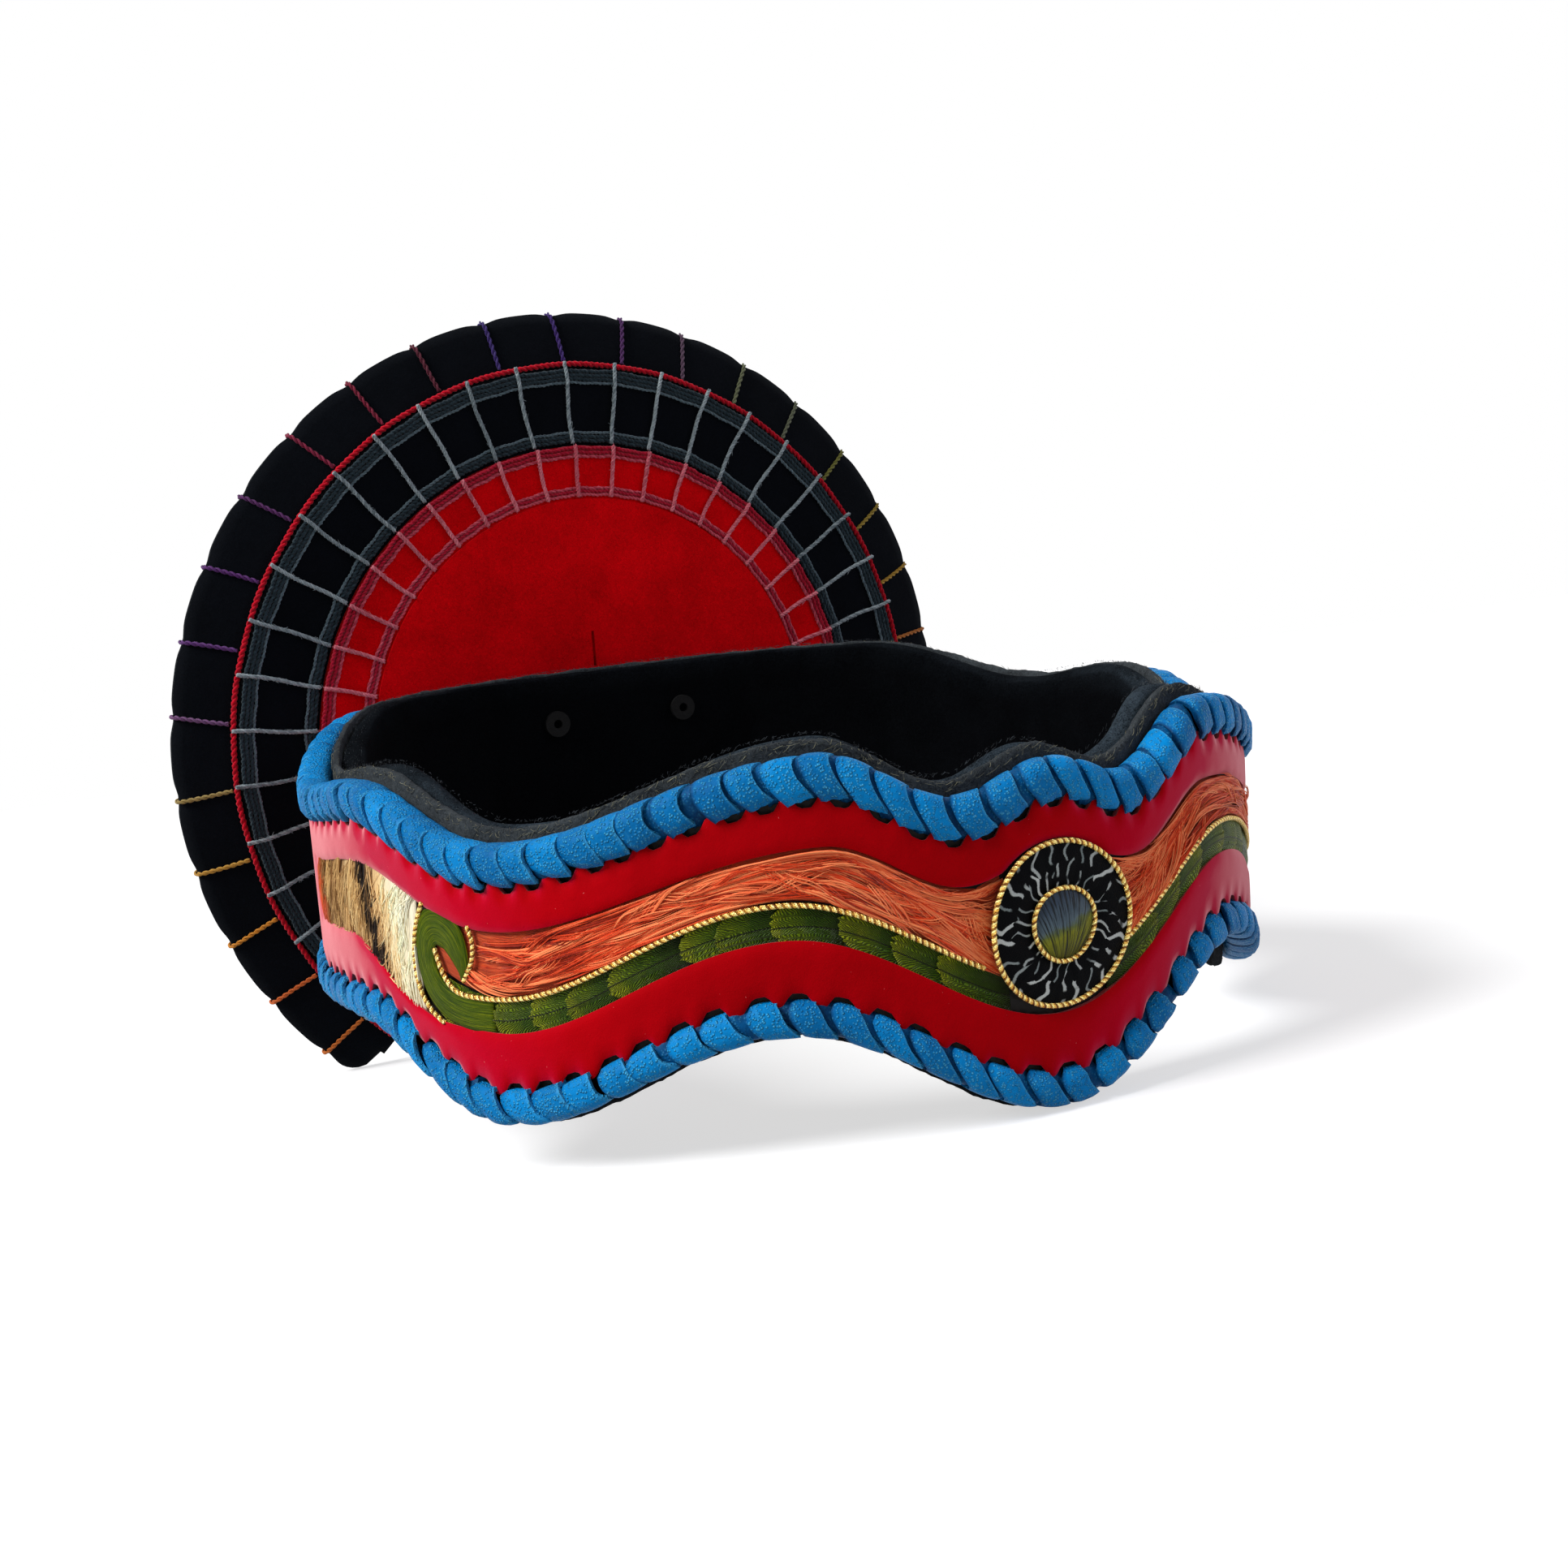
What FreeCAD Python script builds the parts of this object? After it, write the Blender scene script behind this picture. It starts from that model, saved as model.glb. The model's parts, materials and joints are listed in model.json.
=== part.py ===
import FreeCAD, Part
import Sketcher
import math
import os

# Feather-work headdress: a wavy leather band with a padded lining, and a round
# plume plate riveted behind its back. Everything is modelled in the band's own
# frame first: X to the wearer's left, Y to the back, Z up, with the origin on the
# band's axis at the height of the medallion's centre. One common placement then
# sets the finished headdress down on its front edge and the plate's two lower ends.

doc = FreeCAD.newDocument("headdress")
sheet = doc.addObject("Spreadsheet::Sheet", "Sizes")

sizes = [
    # plan of the band, measured at the outer face of its core
    ("front_reach", 99.0), ("side_reach", 95.0), ("back_reach", 92.4),
    ("back_squareness", 2.5), ("seam_turn", 0.15),
    # outer edges of the lacing: heights at each crest and trough, and their turns
    ("top_front", 29.0), ("top_dip", 24.5), ("top_crest", 34.0), ("top_trough", 20.0),
    ("top_temple", 29.0), ("top_ear", 25.0), ("top_back", 33.5),
    ("low_front", -33.0), ("low_crest", -14.0), ("low_trough", -31.0),
    ("low_temple", -18.0), ("low_ear", -20.0), ("low_back", -16.0),
    ("dip_turn", 10.0), ("top_crest_turn", 24.0), ("low_crest_turn", 28.0), ("trough_turn", 61.0),
    ("temple_turn", 84.0), ("ear_turn", 107.0), ("back_turn", 137.0),
    # layers of the wall
    ("core_wall", 2.4), ("face_wall", 1.6), ("lace_wall", 1.4), ("felt_wall", 1.7),
    ("lining_front", 11.5), ("lining_back", 8.5), ("squeeze_turn", 160.0), ("layer_gap", 0.25),
    ("lace_drop_top", 8.0), ("lace_drop_low", 6.5), ("lace_leg", 6.0),
    ("felt_rise", 1.2), ("felt_tuck", 7.8), ("hem_drop", 1.0),
    ("roll_rise", 2.6), ("lining_hem", 0.4), ("lining_gap", 1.0),
    # window in the face and the feather work in it
    ("strip_top", 7.5), ("strip_low", 10.5), ("window_turn", 104.0),
    ("window_sag", 5.2), ("sag_turn", 75.8), ("sag_reach", 14.5),
    ("feather_wall", 1.0), ("feather_gap", 0.35), ("border_rise", 6.2), ("cord_width", 1.8),
    ("curl_inner_turn", 63.7), ("curl_stem_turn", 68.8), ("curl_outer_turn", 72.6),
    # medallion
    ("medallion_radius", 15.0), ("medallion_wall", 2.2), ("centre_radius", 5.4),
    ("centre_wall", 1.2), ("bezel_gap", 0.1),
    # plume plate
    ("plate_height", 18.0), ("plate_front", 96.0), ("gap_angle", 41.0),
    ("rim_radius", 107.5), ("middle_radius", 92.8), ("inner_radius", 73.4), ("felt_radius", 59.8),
    ("base_wall", 3.0), ("tier_wall", 1.2), ("backing_wall", 1.0), ("backing_radius", 88.0),
    ("dish_depth", 4.5), ("corner_radius", 8.0),
    ("thread_width", 0.9), ("thread_wall", 0.6), ("thread_count", 27), ("thread_tail", 12.0),
    ("spoke_count", 33), ("yarn_width", 1.0), ("yarn_wall", 0.7), ("band_width", 1.7),
    ("ring_cord", 1.2), ("slit_length", 9.0), ("slit_width", 0.8), ("slit_height", 17.0),
    # rivets
    ("rivet_side", 17.3), ("rivet_height", 23.0), ("post_radius", 1.8), ("bore_radius", 1.1),
    ("head_radius", 3.2), ("head_wall", 1.0), ("peen_radius", 2.6), ("peen_wall", 0.7),
    ("washer_radius", 4.2), ("washer_wall", 0.8), ("rivet_gap", 0.1),
    ("patch_half_width", 30.0), ("patch_drop", 13.0),
]
for row, (alias, value) in enumerate(sizes, start=1):
    sheet.set("A%d" % row, alias)
    sheet.set("B%d" % row, str(value))
    sheet.setAlias("B%d" % row, alias)
doc.recompute()


class Named:
    pass


v = Named()
for alias, value in sizes:
    setattr(v, alias, float(sheet.get(alias)))

Z_UP = FreeCAD.Vector(0, 0, 1)
SIDES = (("left", -1), ("right", 1))

# ---------------------------------------------------------------- band geometry

# offsets from the core's outer face: outward is positive
core_inside = -v.core_wall
lace_inside = core_inside - v.layer_gap - v.lace_wall
felt_outside = lace_inside - v.layer_gap
felt_inside = felt_outside - v.felt_wall
lining_outside = felt_inside - v.layer_gap
face_outside = v.layer_gap + v.face_wall
lace_outside = face_outside + v.layer_gap + v.lace_wall
edge_cover = v.lace_wall + v.layer_gap

top_knots = [(0.0, v.top_front), (v.dip_turn, v.top_dip), (v.top_crest_turn, v.top_crest),
             (v.trough_turn, v.top_trough), (v.temple_turn, v.top_temple), (v.ear_turn, v.top_ear),
             (v.back_turn, v.top_back), (180.0, v.top_back)]
low_knots = [(0.0, v.low_front), (v.low_crest_turn, v.low_crest), (v.trough_turn, v.low_trough),
             (v.temple_turn, v.low_temple), (v.ear_turn, v.low_ear), (v.back_turn, v.low_back),
             (180.0, v.low_back)]


def eased(turn, knots):
    # a smooth wave whose crests and troughs lie at the knots
    turn = abs(turn)
    for (start, low), (end, high) in zip(knots, knots[1:]):
        if turn <= end:
            share = (turn - start) / (end - start)
            return low + (high - low) * (1 - math.cos(math.pi * share)) / 2
    return knots[-1][1]


def top(turn):
    return eased(turn, top_knots)


def low(turn):
    return eased(turn, low_knots)


def window_top(turn):
    return top(turn) - v.lace_drop_top - v.strip_top


def lower_strip(turn):
    return low(turn) + v.lace_drop_low + v.strip_low


def window_low(turn):
    # the lower strip is cut thinner behind the curls
    away = min(abs(abs(turn) - v.sag_turn) / v.sag_reach, 1.0)
    return lower_strip(turn) - v.window_sag * (1 + math.cos(math.pi * away)) / 2


def border(turn):
    return lower_strip(turn) + v.border_rise


def lining_inside(turn):
    return -eased(turn, [(0.0, v.lining_front), (v.ear_turn, v.lining_front), (v.squeeze_turn, v.lining_back),
                         (180.0, v.lining_back)])


def plan_point(turn):
    # ellipse in front of the ears, squarer curve behind them
    angle = math.radians(turn)
    ahead = math.cos(angle)
    aside = math.sin(angle)
    reach = v.front_reach if ahead >= 0 else v.back_reach
    power = 2.0 if ahead >= 0 else v.back_squareness
    radius = ((abs(ahead) / reach) ** power + (abs(aside) / v.side_reach) ** power) ** (-1 / power)
    return FreeCAD.Vector(radius * aside, -radius * ahead, 0)


def band_point(turn, offset, height):
    along = plan_point(turn + 0.05) - plan_point(turn - 0.05)
    outward = along.cross(Z_UP).normalize()
    point = plan_point(turn) + outward * offset
    point.z = height
    return point


def turns(start, end, step):
    count = max(2, int(math.ceil((end - start) / step)))
    return [start + (end - start) * i / count for i in range(count + 1)]


def swept(outline, start, end, step=3.0):
    # solid along the band: outline(turn) gives its section as (offset, height) corners
    wires = []
    for turn in turns(start, end, step):
        corners = [band_point(turn, offset, height) for offset, height in outline(turn)]
        wires.append(Part.makePolygon(corners + corners[:1]))
    return Part.makeLoft(wires, True, False)


def ring(outline):
    return swept(outline, v.seam_turn - 180.0, 180.0 - v.seam_turn)


def slab(inner, outer, bottom, above):
    # a wall between two offsets and two edge heights
    def outline(turn):
        floor = bottom(turn)
        ceiling = above(turn)
        return [(inner, floor), (outer, floor), (outer, ceiling), (inner, ceiling)]
    return outline


parts = []


def solid(label, shape):
    made = doc.addObject("Part::Feature", label)
    made.Label = label
    made.Shape = shape
    parts.append(made)
    return made


# cutters shared by the layers: the two rivets and the medallion's seat
def along_y(radius, x, z, start, end):
    return Part.makeCylinder(radius, end - start, FreeCAD.Vector(x, start, z), FreeCAD.Vector(0, 1, 0))


rivet_holes = Part.makeCompound([
    along_y(v.post_radius + v.rivet_gap, side * v.rivet_side, v.rivet_height, 0, 2 * v.rim_radius)
    for name, side in SIDES])
medallion_seat = along_y(v.medallion_radius + v.feather_gap, 0, 0, -v.front_reach - 10, 0)


# core, face, felts and lining
def core_outline(turn):
    return slab(core_inside, 0, lambda a: low(a) + edge_cover, lambda a: top(a) - edge_cover)(turn)


def face_outline(turn):
    return slab(v.layer_gap, face_outside, lambda a: low(a) + edge_cover, lambda a: top(a) - edge_cover)(turn)


def lining_outline(turn):
    inside = lining_inside(turn)
    floor = low(turn) + v.lining_hem
    crown = top(turn) + v.roll_rise
    radius = (lining_outside - inside) / 2
    middle = (lining_outside + inside) / 2
    notch_low = low(turn) + v.felt_tuck + v.layer_gap
    notch_top = top(turn) - v.felt_tuck - v.layer_gap
    snug = core_inside - v.lining_gap
    roll = [(middle + radius * math.cos(math.radians(a)), crown - radius + radius * math.sin(math.radians(a)))
            for a in (0, 30, 60, 90, 120, 150, 180)]
    return [(inside, floor), (lining_outside, floor), (lining_outside, notch_low), (snug, notch_low),
            (snug, notch_top), (lining_outside, notch_top)] + roll


solid("band_core", ring(core_outline).cut(rivet_holes))
window = swept(slab(-1.0, 3 * v.face_wall, window_low, window_top), -v.window_turn, v.window_turn)
solid("face_leather", ring(face_outline).cut(window).cut(medallion_seat).cut(rivet_holes))
solid("lining_pad", ring(lining_outline).cut(rivet_holes))
solid("upper_edge_felt", ring(slab(felt_inside, felt_outside, lambda a: top(a) - v.felt_tuck,
                                   lambda a: top(a) + v.felt_rise)))
hem = solid("lower_hem_felt", ring(slab(felt_inside, felt_outside, lambda a: low(a) - v.hem_drop,
                                        lambda a: low(a) + v.felt_tuck)))


# lacing: a sleeve of overlapping wraps over each edge of the leather
def lacing_outline(edge, away, drop):
    inner = core_inside - v.layer_gap
    outer = face_outside + v.layer_gap
    shoulder = v.lace_wall * 0.7

    def outline(turn):
        level = edge(turn)
        return [(offset, level - away * depth) for offset, depth in (
            (lace_outside, drop), (lace_outside, shoulder), (lace_outside - shoulder, 0),
            (lace_inside + shoulder, 0), (lace_inside, shoulder), (lace_inside, v.lace_leg),
            (inner, v.lace_leg), (inner, v.lace_wall), (outer, v.lace_wall), (outer, drop))]
    return outline


solid("upper_lacing", ring(lacing_outline(top, 1, v.lace_drop_top)))
solid("lower_lacing", ring(lacing_outline(low, -1, v.lace_drop_low)))

# feather work, mirrored on the two sides of the medallion
half_cord = v.cord_width / 2 + v.feather_gap / 2
feather_floor = v.layer_gap
feather_face = feather_floor + v.feather_wall


def field(bottom, above, start, end, side):
    outline = slab(feather_floor, feather_face, bottom, above)
    return swept(outline, *sorted((side * start, side * end)))


def cord(route, label):
    path = Part.BSplineCurve()
    path.interpolate(route)
    edge = path.toShape()
    round_end = Part.Circle(route[0], edge.tangentAt(edge.FirstParameter), v.cord_width / 2)
    profile = Part.Wire(round_end.toShape())
    solid(label, Part.Wire(edge).makePipeShell([profile], True, True))


cord_offset = v.cord_width / 2 + feather_floor
inset = v.feather_gap
first_turn = math.degrees(math.asin((v.medallion_radius + v.feather_gap) / v.front_reach))


def curl_tip_low(turn):
    return (window_low(turn) + window_top(turn)) / 2


for name, side in SIDES:
    under_top = lambda a: window_top(a) - inset
    over_low = lambda a: window_low(a) + inset
    over_border = lambda a: border(a) + half_cord
    under_border = lambda a: border(a) - half_cord
    turn_gap = math.degrees(v.cord_width / v.side_reach)
    solid("orange_feathers_" + name,
          field(over_border, under_top, 0, v.curl_inner_turn - turn_gap, side).cut(medallion_seat))
    solid("green_feathers_" + name,
          field(over_low, under_border, 0, v.curl_stem_turn - turn_gap / 4, side).cut(medallion_seat))
    stem = field(over_low, under_top, v.curl_stem_turn, v.curl_outer_turn, side)
    hook = field(curl_tip_low, under_top, v.curl_inner_turn, v.curl_stem_turn, side)
    solid("green_curl_" + name, stem.fuse(hook).removeSplitter())
    solid("banded_feather_" + name,
          field(over_low, under_top, v.curl_outer_turn + turn_gap, v.window_turn - turn_gap / 4, side))
    border_end = v.curl_stem_turn - turn_gap
    cord([band_point(side * a, cord_offset, border(a)) for a in turns(first_turn, border_end, 6)],
         "border_cord_" + name)
    edge_turn = v.curl_outer_turn + turn_gap / 2
    span = window_top(edge_turn) - window_low(edge_turn) - 2 * inset
    foot = band_point(side * edge_turn, cord_offset, window_low(edge_turn) + inset)
    solid("curl_cord_" + name, Part.makeCylinder(v.cord_width / 2, span, foot))


# ------------------------------------------------------------- turned pieces

def total(*names):
    # a sum of cells as (value, expression); a leading minus takes a cell away
    value = 0.0
    terms = []
    for name in names:
        sign = -1 if name.startswith("-") else 1
        alias = name.lstrip("-")
        value += sign * getattr(v, alias)
        terms.append(("-" if sign < 0 else "+") + " Sizes." + alias)
    return value, " ".join(terms)


def turned(label, corners, placement, arc=None):
    # body of revolution about its own Z, from (radius, depth) corners
    body = doc.addObject("PartDesign::Body", label)
    body.Label = label
    sketch = body.newObject("Sketcher::SketchObject", label + "_profile")
    plane = [f for f in body.Origin.OriginFeatures if f.Role == "XZ_Plane"][0]
    sketch.AttachmentSupport = (plane, "")
    sketch.MapMode = "FlatFace"
    ends = [FreeCAD.Vector(radius[0], depth[0], 0) for radius, depth in corners]
    for start, end in zip(ends, ends[1:] + ends[:1]):
        sketch.addGeometry(Part.LineSegment(start, end), False)
    for i, corner in enumerate(corners):
        sketch.addConstraint(Sketcher.Constraint("Coincident", i, 2, (i + 1) % len(corners), 1))
        for kind, on_axis, (value, text) in (("DistanceX", -2, corner[0]), ("DistanceY", -1, corner[1])):
            if text:
                index = sketch.addConstraint(Sketcher.Constraint(kind, -1, 1, i, 1, value))
                sketch.setExpression("Constraints[%d]" % index, text)
            else:
                sketch.addConstraint(Sketcher.Constraint("PointOnObject", i, 1, on_axis))
    made = body.newObject("PartDesign::Revolution", label + "_turn")
    made.Profile = sketch
    made.ReferenceAxis = (sketch, ["V_Axis"])
    if arc:
        made.Midplane = True
        made.setExpression("Angle", arc)
    else:
        made.Angle = 360.0
    sketch.Visibility = False
    body.Placement = placement
    doc.recompute()
    return body


def facing_back(x, y, z, spin=0.0):
    # a piece's own Z points to the back, and its own X points up when spin is -90
    turn = FreeCAD.Rotation(FreeCAD.Vector(1, 0, 0), -90) * FreeCAD.Rotation(Z_UP, spin)
    return FreeCAD.Placement(FreeCAD.Vector(x, y, z), turn)


def cylinder(label, radius, depth, placement, arc=None):
    made = doc.addObject("Part::Cylinder", label)
    made.setExpression("Radius", radius)
    made.setExpression("Height", depth)
    if arc:
        made.setExpression("Angle", arc)
    made.Placement = placement
    return made


def torus(label, reach, thickness, placement, arc=None):
    made = doc.addObject("Part::Torus", label)
    made.setExpression("Radius1", reach)
    made.setExpression("Radius2", thickness)
    if arc:
        made.setExpression("Angle3", arc)
    made.Placement = placement
    return made


def minus(label, base, tool):
    made = doc.addObject("Part::Cut", label)
    made.Base = base
    made.Tool = tool
    return made


def keep(made, label):
    made.Label = label
    parts.append(made)
    return made


# medallion: a disc that fills the round seat, with a cord round it and a raised centre
seat_y = -v.front_reach - v.layer_gap
medallion_y = seat_y - v.medallion_wall
disc_radius = "Sizes.medallion_radius - Sizes.cord_width - Sizes.bezel_gap"
keep(cylinder("disc", disc_radius, "Sizes.medallion_wall", facing_back(0, medallion_y, 0)), "medallion_disc")
keep(torus("rim_cord", "Sizes.medallion_radius - Sizes.cord_width / 2", "Sizes.cord_width / 2",
           facing_back(0, seat_y - v.medallion_wall + v.cord_width / 2, 0)), "medallion_cord")
keep(torus("centre_cord", "Sizes.centre_radius + Sizes.bezel_gap + Sizes.cord_width / 2", "Sizes.cord_width / 2",
           facing_back(0, medallion_y - v.cord_width / 2, 0)), "medallion_inner_cord")
keep(cylinder("centre", "Sizes.centre_radius", "Sizes.centre_wall",
              facing_back(0, medallion_y - v.centre_wall, 0)), "medallion_centre")

# plume plate: stacked tiers with one gap at the bottom, all about the plate's axis
plate_arc = "360 - 2 * Sizes.gap_angle"
gap_start = 90.0 + v.gap_angle
inner_depth = v.tier_wall
middle_depth = 2 * v.tier_wall
base_depth = 3 * v.tier_wall
back_depth = base_depth + v.base_wall


def plate_place(depth, spin):
    return facing_back(0, v.plate_front + depth, v.plate_height, spin)


def bores(label):
    holes = doc.addObject("Part::Compound", label)
    holes.Links = [
        cylinder(label + "_" + name, "Sizes.post_radius + Sizes.rivet_gap", "2 * Sizes.rim_radius",
                 facing_back(side * v.rivet_side, 0, v.rivet_height)) for name, side in SIDES]
    return holes


flat_top = total("tier_wall", "tier_wall", "tier_wall")
flat_back = total("tier_wall", "tier_wall", "tier_wall", "base_wall")
rim_top = total("tier_wall", "tier_wall", "tier_wall", "dish_depth")
rim_back = total("tier_wall", "tier_wall", "tier_wall", "dish_depth", "base_wall")
axis = (0.0, None)
dish = turned("base_blank", [(axis, flat_top), (total("middle_radius"), flat_top), (total("rim_radius"), rim_top),
                             (total("rim_radius"), rim_back), (total("middle_radius"), flat_back),
                             (axis, flat_back)], plate_place(0, -90), plate_arc)
rim_corners = [i + 1 for i, edge in enumerate(dish.Shape.Edges)
               if all(abs(math.hypot(p.Point.x, p.Point.z - v.plate_height) - v.rim_radius) < 0.01
                      for p in edge.Vertexes) and edge.Length < 2 * v.base_wall]
revolved = dish.Tip
rounded = dish.newObject("PartDesign::Fillet", "base_corners")
rounded.Base = (revolved, ["Edge%d" % i for i in rim_corners])
rounded.setExpression("Radius", "Sizes.corner_radius")
dish.Tip = rounded
doc.recompute()
base = keep(minus("base", dish, bores("base_bores")), "plate_base")

tiers = [("plate_middle_tier", "Sizes.middle_radius", "Sizes.tier_wall", middle_depth, True),
         ("plate_inner_tier", "Sizes.inner_radius", "Sizes.tier_wall", inner_depth, True),
         ("plate_backing", "Sizes.backing_radius", "Sizes.backing_wall", back_depth, True)]
for label, radius, wall, depth, open_below in tiers:
    blank = cylinder(label + "_blank", radius, wall, plate_place(depth, gap_start), plate_arc)
    keep(minus(label + "_cut", blank, bores(label + "_bores")), label)

felt = cylinder("felt_blank", "Sizes.felt_radius", "Sizes.tier_wall", plate_place(0, 0))
slit = doc.addObject("Part::Box", "slit")
slit.setExpression("Length", "Sizes.slit_width")
slit.setExpression("Width", "2 * Sizes.tier_wall")
slit.setExpression("Height", "Sizes.slit_length")
slit.Placement.Base = FreeCAD.Vector(-v.slit_width / 2, v.plate_front - v.tier_wall / 2,
                                     v.plate_height + v.slit_height)
slotted = minus("felt_slotted", felt, slit)
keep(minus("felt_cut", slotted, bores("felt_bores")), "plate_centre_felt")

red_radius = v.middle_radius + v.ring_cord / 2 + v.layer_gap
red_depth = base_depth - v.ring_cord / 2
keep(torus("ring", "Sizes.middle_radius + Sizes.ring_cord / 2 + Sizes.layer_gap", "Sizes.ring_cord / 2",
           plate_place(red_depth, gap_start), plate_arc), "plate_red_cord")


# threads and yarn: flat strands repeated round the plate's axis
def spread(count):
    margin = math.degrees(1.5 * v.corner_radius / v.rim_radius)
    span = 360.0 - 2 * v.gap_angle - 2 * margin
    return [gap_start + margin + span * i / (count - 1) for i in range(count)]


def strand(corners, width, spin):
    # a flat strip whose (radius, depth) side view is extruded across its width
    outline = [FreeCAD.Vector(radius, -width / 2, depth) for radius, depth in corners]
    made = Part.Face(Part.makePolygon(outline + outline[:1])).extrude(FreeCAD.Vector(0, width, 0))
    made.Placement = plate_place(0, spin)
    return made


slope = v.dish_depth / (v.rim_radius - v.middle_radius)
thread_start = red_radius + v.ring_cord / 2 + v.layer_gap
start_depth = base_depth + slope * (thread_start - v.middle_radius)
tail_radius = v.rim_radius - v.thread_tail
tail_depth = back_depth + slope * (tail_radius - v.middle_radius)
rim_depth = base_depth + v.dish_depth
over = v.rim_radius + v.thread_wall
thread_side = [
    (thread_start, start_depth - v.thread_wall), (over, rim_depth - v.thread_wall),
    (over, rim_depth + v.base_wall + v.thread_wall), (tail_radius, tail_depth + v.thread_wall),
    (tail_radius, tail_depth), (v.rim_radius, rim_depth + v.base_wall), (v.rim_radius, rim_depth),
    (thread_start, start_depth)]
solid("rim_threads", Part.makeCompound([strand(thread_side, v.thread_width, spin)
                                        for spin in spread(int(v.thread_count))]))


def yarn_grid(inside, outside, face_depth):
    floor = face_depth - v.yarn_wall
    spoke = [(inside, floor), (outside, floor), (outside, face_depth), (inside, face_depth)]
    pieces = [strand(spoke, v.yarn_width, spin) for spin in spread(int(v.spoke_count))]
    for start in (inside + v.band_width / 2, outside - 2 * v.band_width):
        section = [(start, floor), (start + v.band_width, floor), (start + v.band_width, face_depth),
                   (start, face_depth)]
        outline = [FreeCAD.Vector(radius, 0, depth) for radius, depth in section]
        face = Part.Face(Part.makePolygon(outline + outline[:1]))
        arc = face.revolve(FreeCAD.Vector(), Z_UP, spread(2)[1] - spread(2)[0])
        arc.Placement = plate_place(0, spread(2)[0])
        pieces.append(arc)
    return pieces[0].fuse(pieces[1:]).removeSplitter()


solid("grey_yarn_grid", yarn_grid(v.inner_radius + v.layer_gap, v.middle_radius, middle_depth))
solid("pink_yarn_grid", yarn_grid(v.felt_radius + v.layer_gap, v.inner_radius, inner_depth))

# leather patch over the band's seam, which also spaces the plate off the band
patch_turn = math.degrees(math.atan2(v.patch_half_width, v.back_reach))


def patch_outline(turn):
    outer = v.plate_front - band_point(turn, 0, 0).y
    floor = v.rivet_height - v.patch_drop
    ceiling = top(turn) - v.lace_drop_top - v.layer_gap
    inner = face_outside + v.layer_gap
    return [(inner, floor), (outer, floor), (outer, ceiling), (inner, ceiling)]


patch_left = swept(patch_outline, 180.0 - patch_turn, 180.0)
patch_right = swept(patch_outline, -180.0, -180.0 + patch_turn)
solid("closure_patch", patch_left.fuse(patch_right).removeSplitter().cut(rivet_holes))

# tubular rivets from the lining's inner face through the plate, each with a washer
head_turn = 180.0 - math.degrees(math.asin((v.rivet_side + v.head_radius) / v.back_reach))
head_y = band_point(head_turn, lining_inside(head_turn) - v.layer_gap, 0).y - v.head_wall
plate_back = v.plate_front + back_depth + v.backing_wall
washer_back = plate_back + v.washer_wall
sheet.set("B%d" % (len(sizes) + 1), str(round(washer_back - head_y, 6)))
sheet.setAlias("B%d" % (len(sizes) + 1), "rivet_length")
doc.recompute()
v.rivet_length = washer_back - head_y
for name, side in SIDES:
    turned("rivet_" + name, [
        (total("bore_radius"), axis), (total("head_radius"), axis), (total("head_radius"), total("head_wall")),
        (total("post_radius"), total("head_wall")), (total("post_radius"), total("rivet_length")),
        (total("peen_radius"), total("rivet_length")),
        (total("peen_radius"), total("rivet_length", "peen_wall")),
        (total("bore_radius"), total("rivet_length", "peen_wall"))],
        facing_back(side * v.rivet_side, head_y, v.rivet_height))
    parts.append(doc.getObject("rivet_" + name))
    turned("rivet_washer_" + name, [
        (total("post_radius", "rivet_gap"), axis), (total("washer_radius"), axis),
        (total("washer_radius"), total("washer_wall")),
        (total("post_radius", "rivet_gap"), total("washer_wall"))],
        facing_back(side * v.rivet_side, plate_back, v.rivet_height))
    parts.append(doc.getObject("rivet_washer_" + name))
doc.recompute()

# ---------------------------------------------------------- resting placement

front_points = [p for p in hem.Shape.tessellate(0.2)[0] if p.y < 0]
back_points = base.Shape.tessellate(0.2)[0]


def lowest(points, tilt):
    angle = math.radians(tilt)
    return min(p.y * math.sin(angle) + p.z * math.cos(angle) for p in points)


flat, steep = 0.0, 30.0
for step in range(40):
    tilt = (flat + steep) / 2
    if lowest(back_points, tilt) < lowest(front_points, tilt):
        flat = tilt
    else:
        steep = tilt
standing = FreeCAD.Rotation(FreeCAD.Vector(1, 0, 0), tilt)
corners = [standing.multVec(p) for made in parts for p in made.Shape.tessellate(0.5)[0]]
middle_y = (min(p.y for p in corners) + max(p.y for p in corners)) / 2
rest = FreeCAD.Placement(FreeCAD.Vector(0, -middle_y, -lowest(front_points, tilt)), standing)
print("tilt %.2f, lift %.2f, back %.2f" % (tilt, rest.Base.z, rest.Base.y))

for made in parts:
    made.Placement = rest.multiply(made.Placement)
doc.recompute()

os.makedirs("parts", exist_ok=True)
for made in doc.Objects:
    if "Invalid" in made.State or "Error" in made.State:
        raise RuntimeError("%s did not build" % made.Label)
for made in parts:
    if made.Shape.isNull() or not made.Shape.isValid():
        raise RuntimeError("%s has no valid shape" % made.Label)
    made.Shape.exportStep("parts/%s.step" % made.Label)
print("%d pieces" % len(parts))
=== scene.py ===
import json
import math
import random

import bmesh
import bpy
import numpy as np
from mathutils import Matrix, Vector, noise


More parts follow.
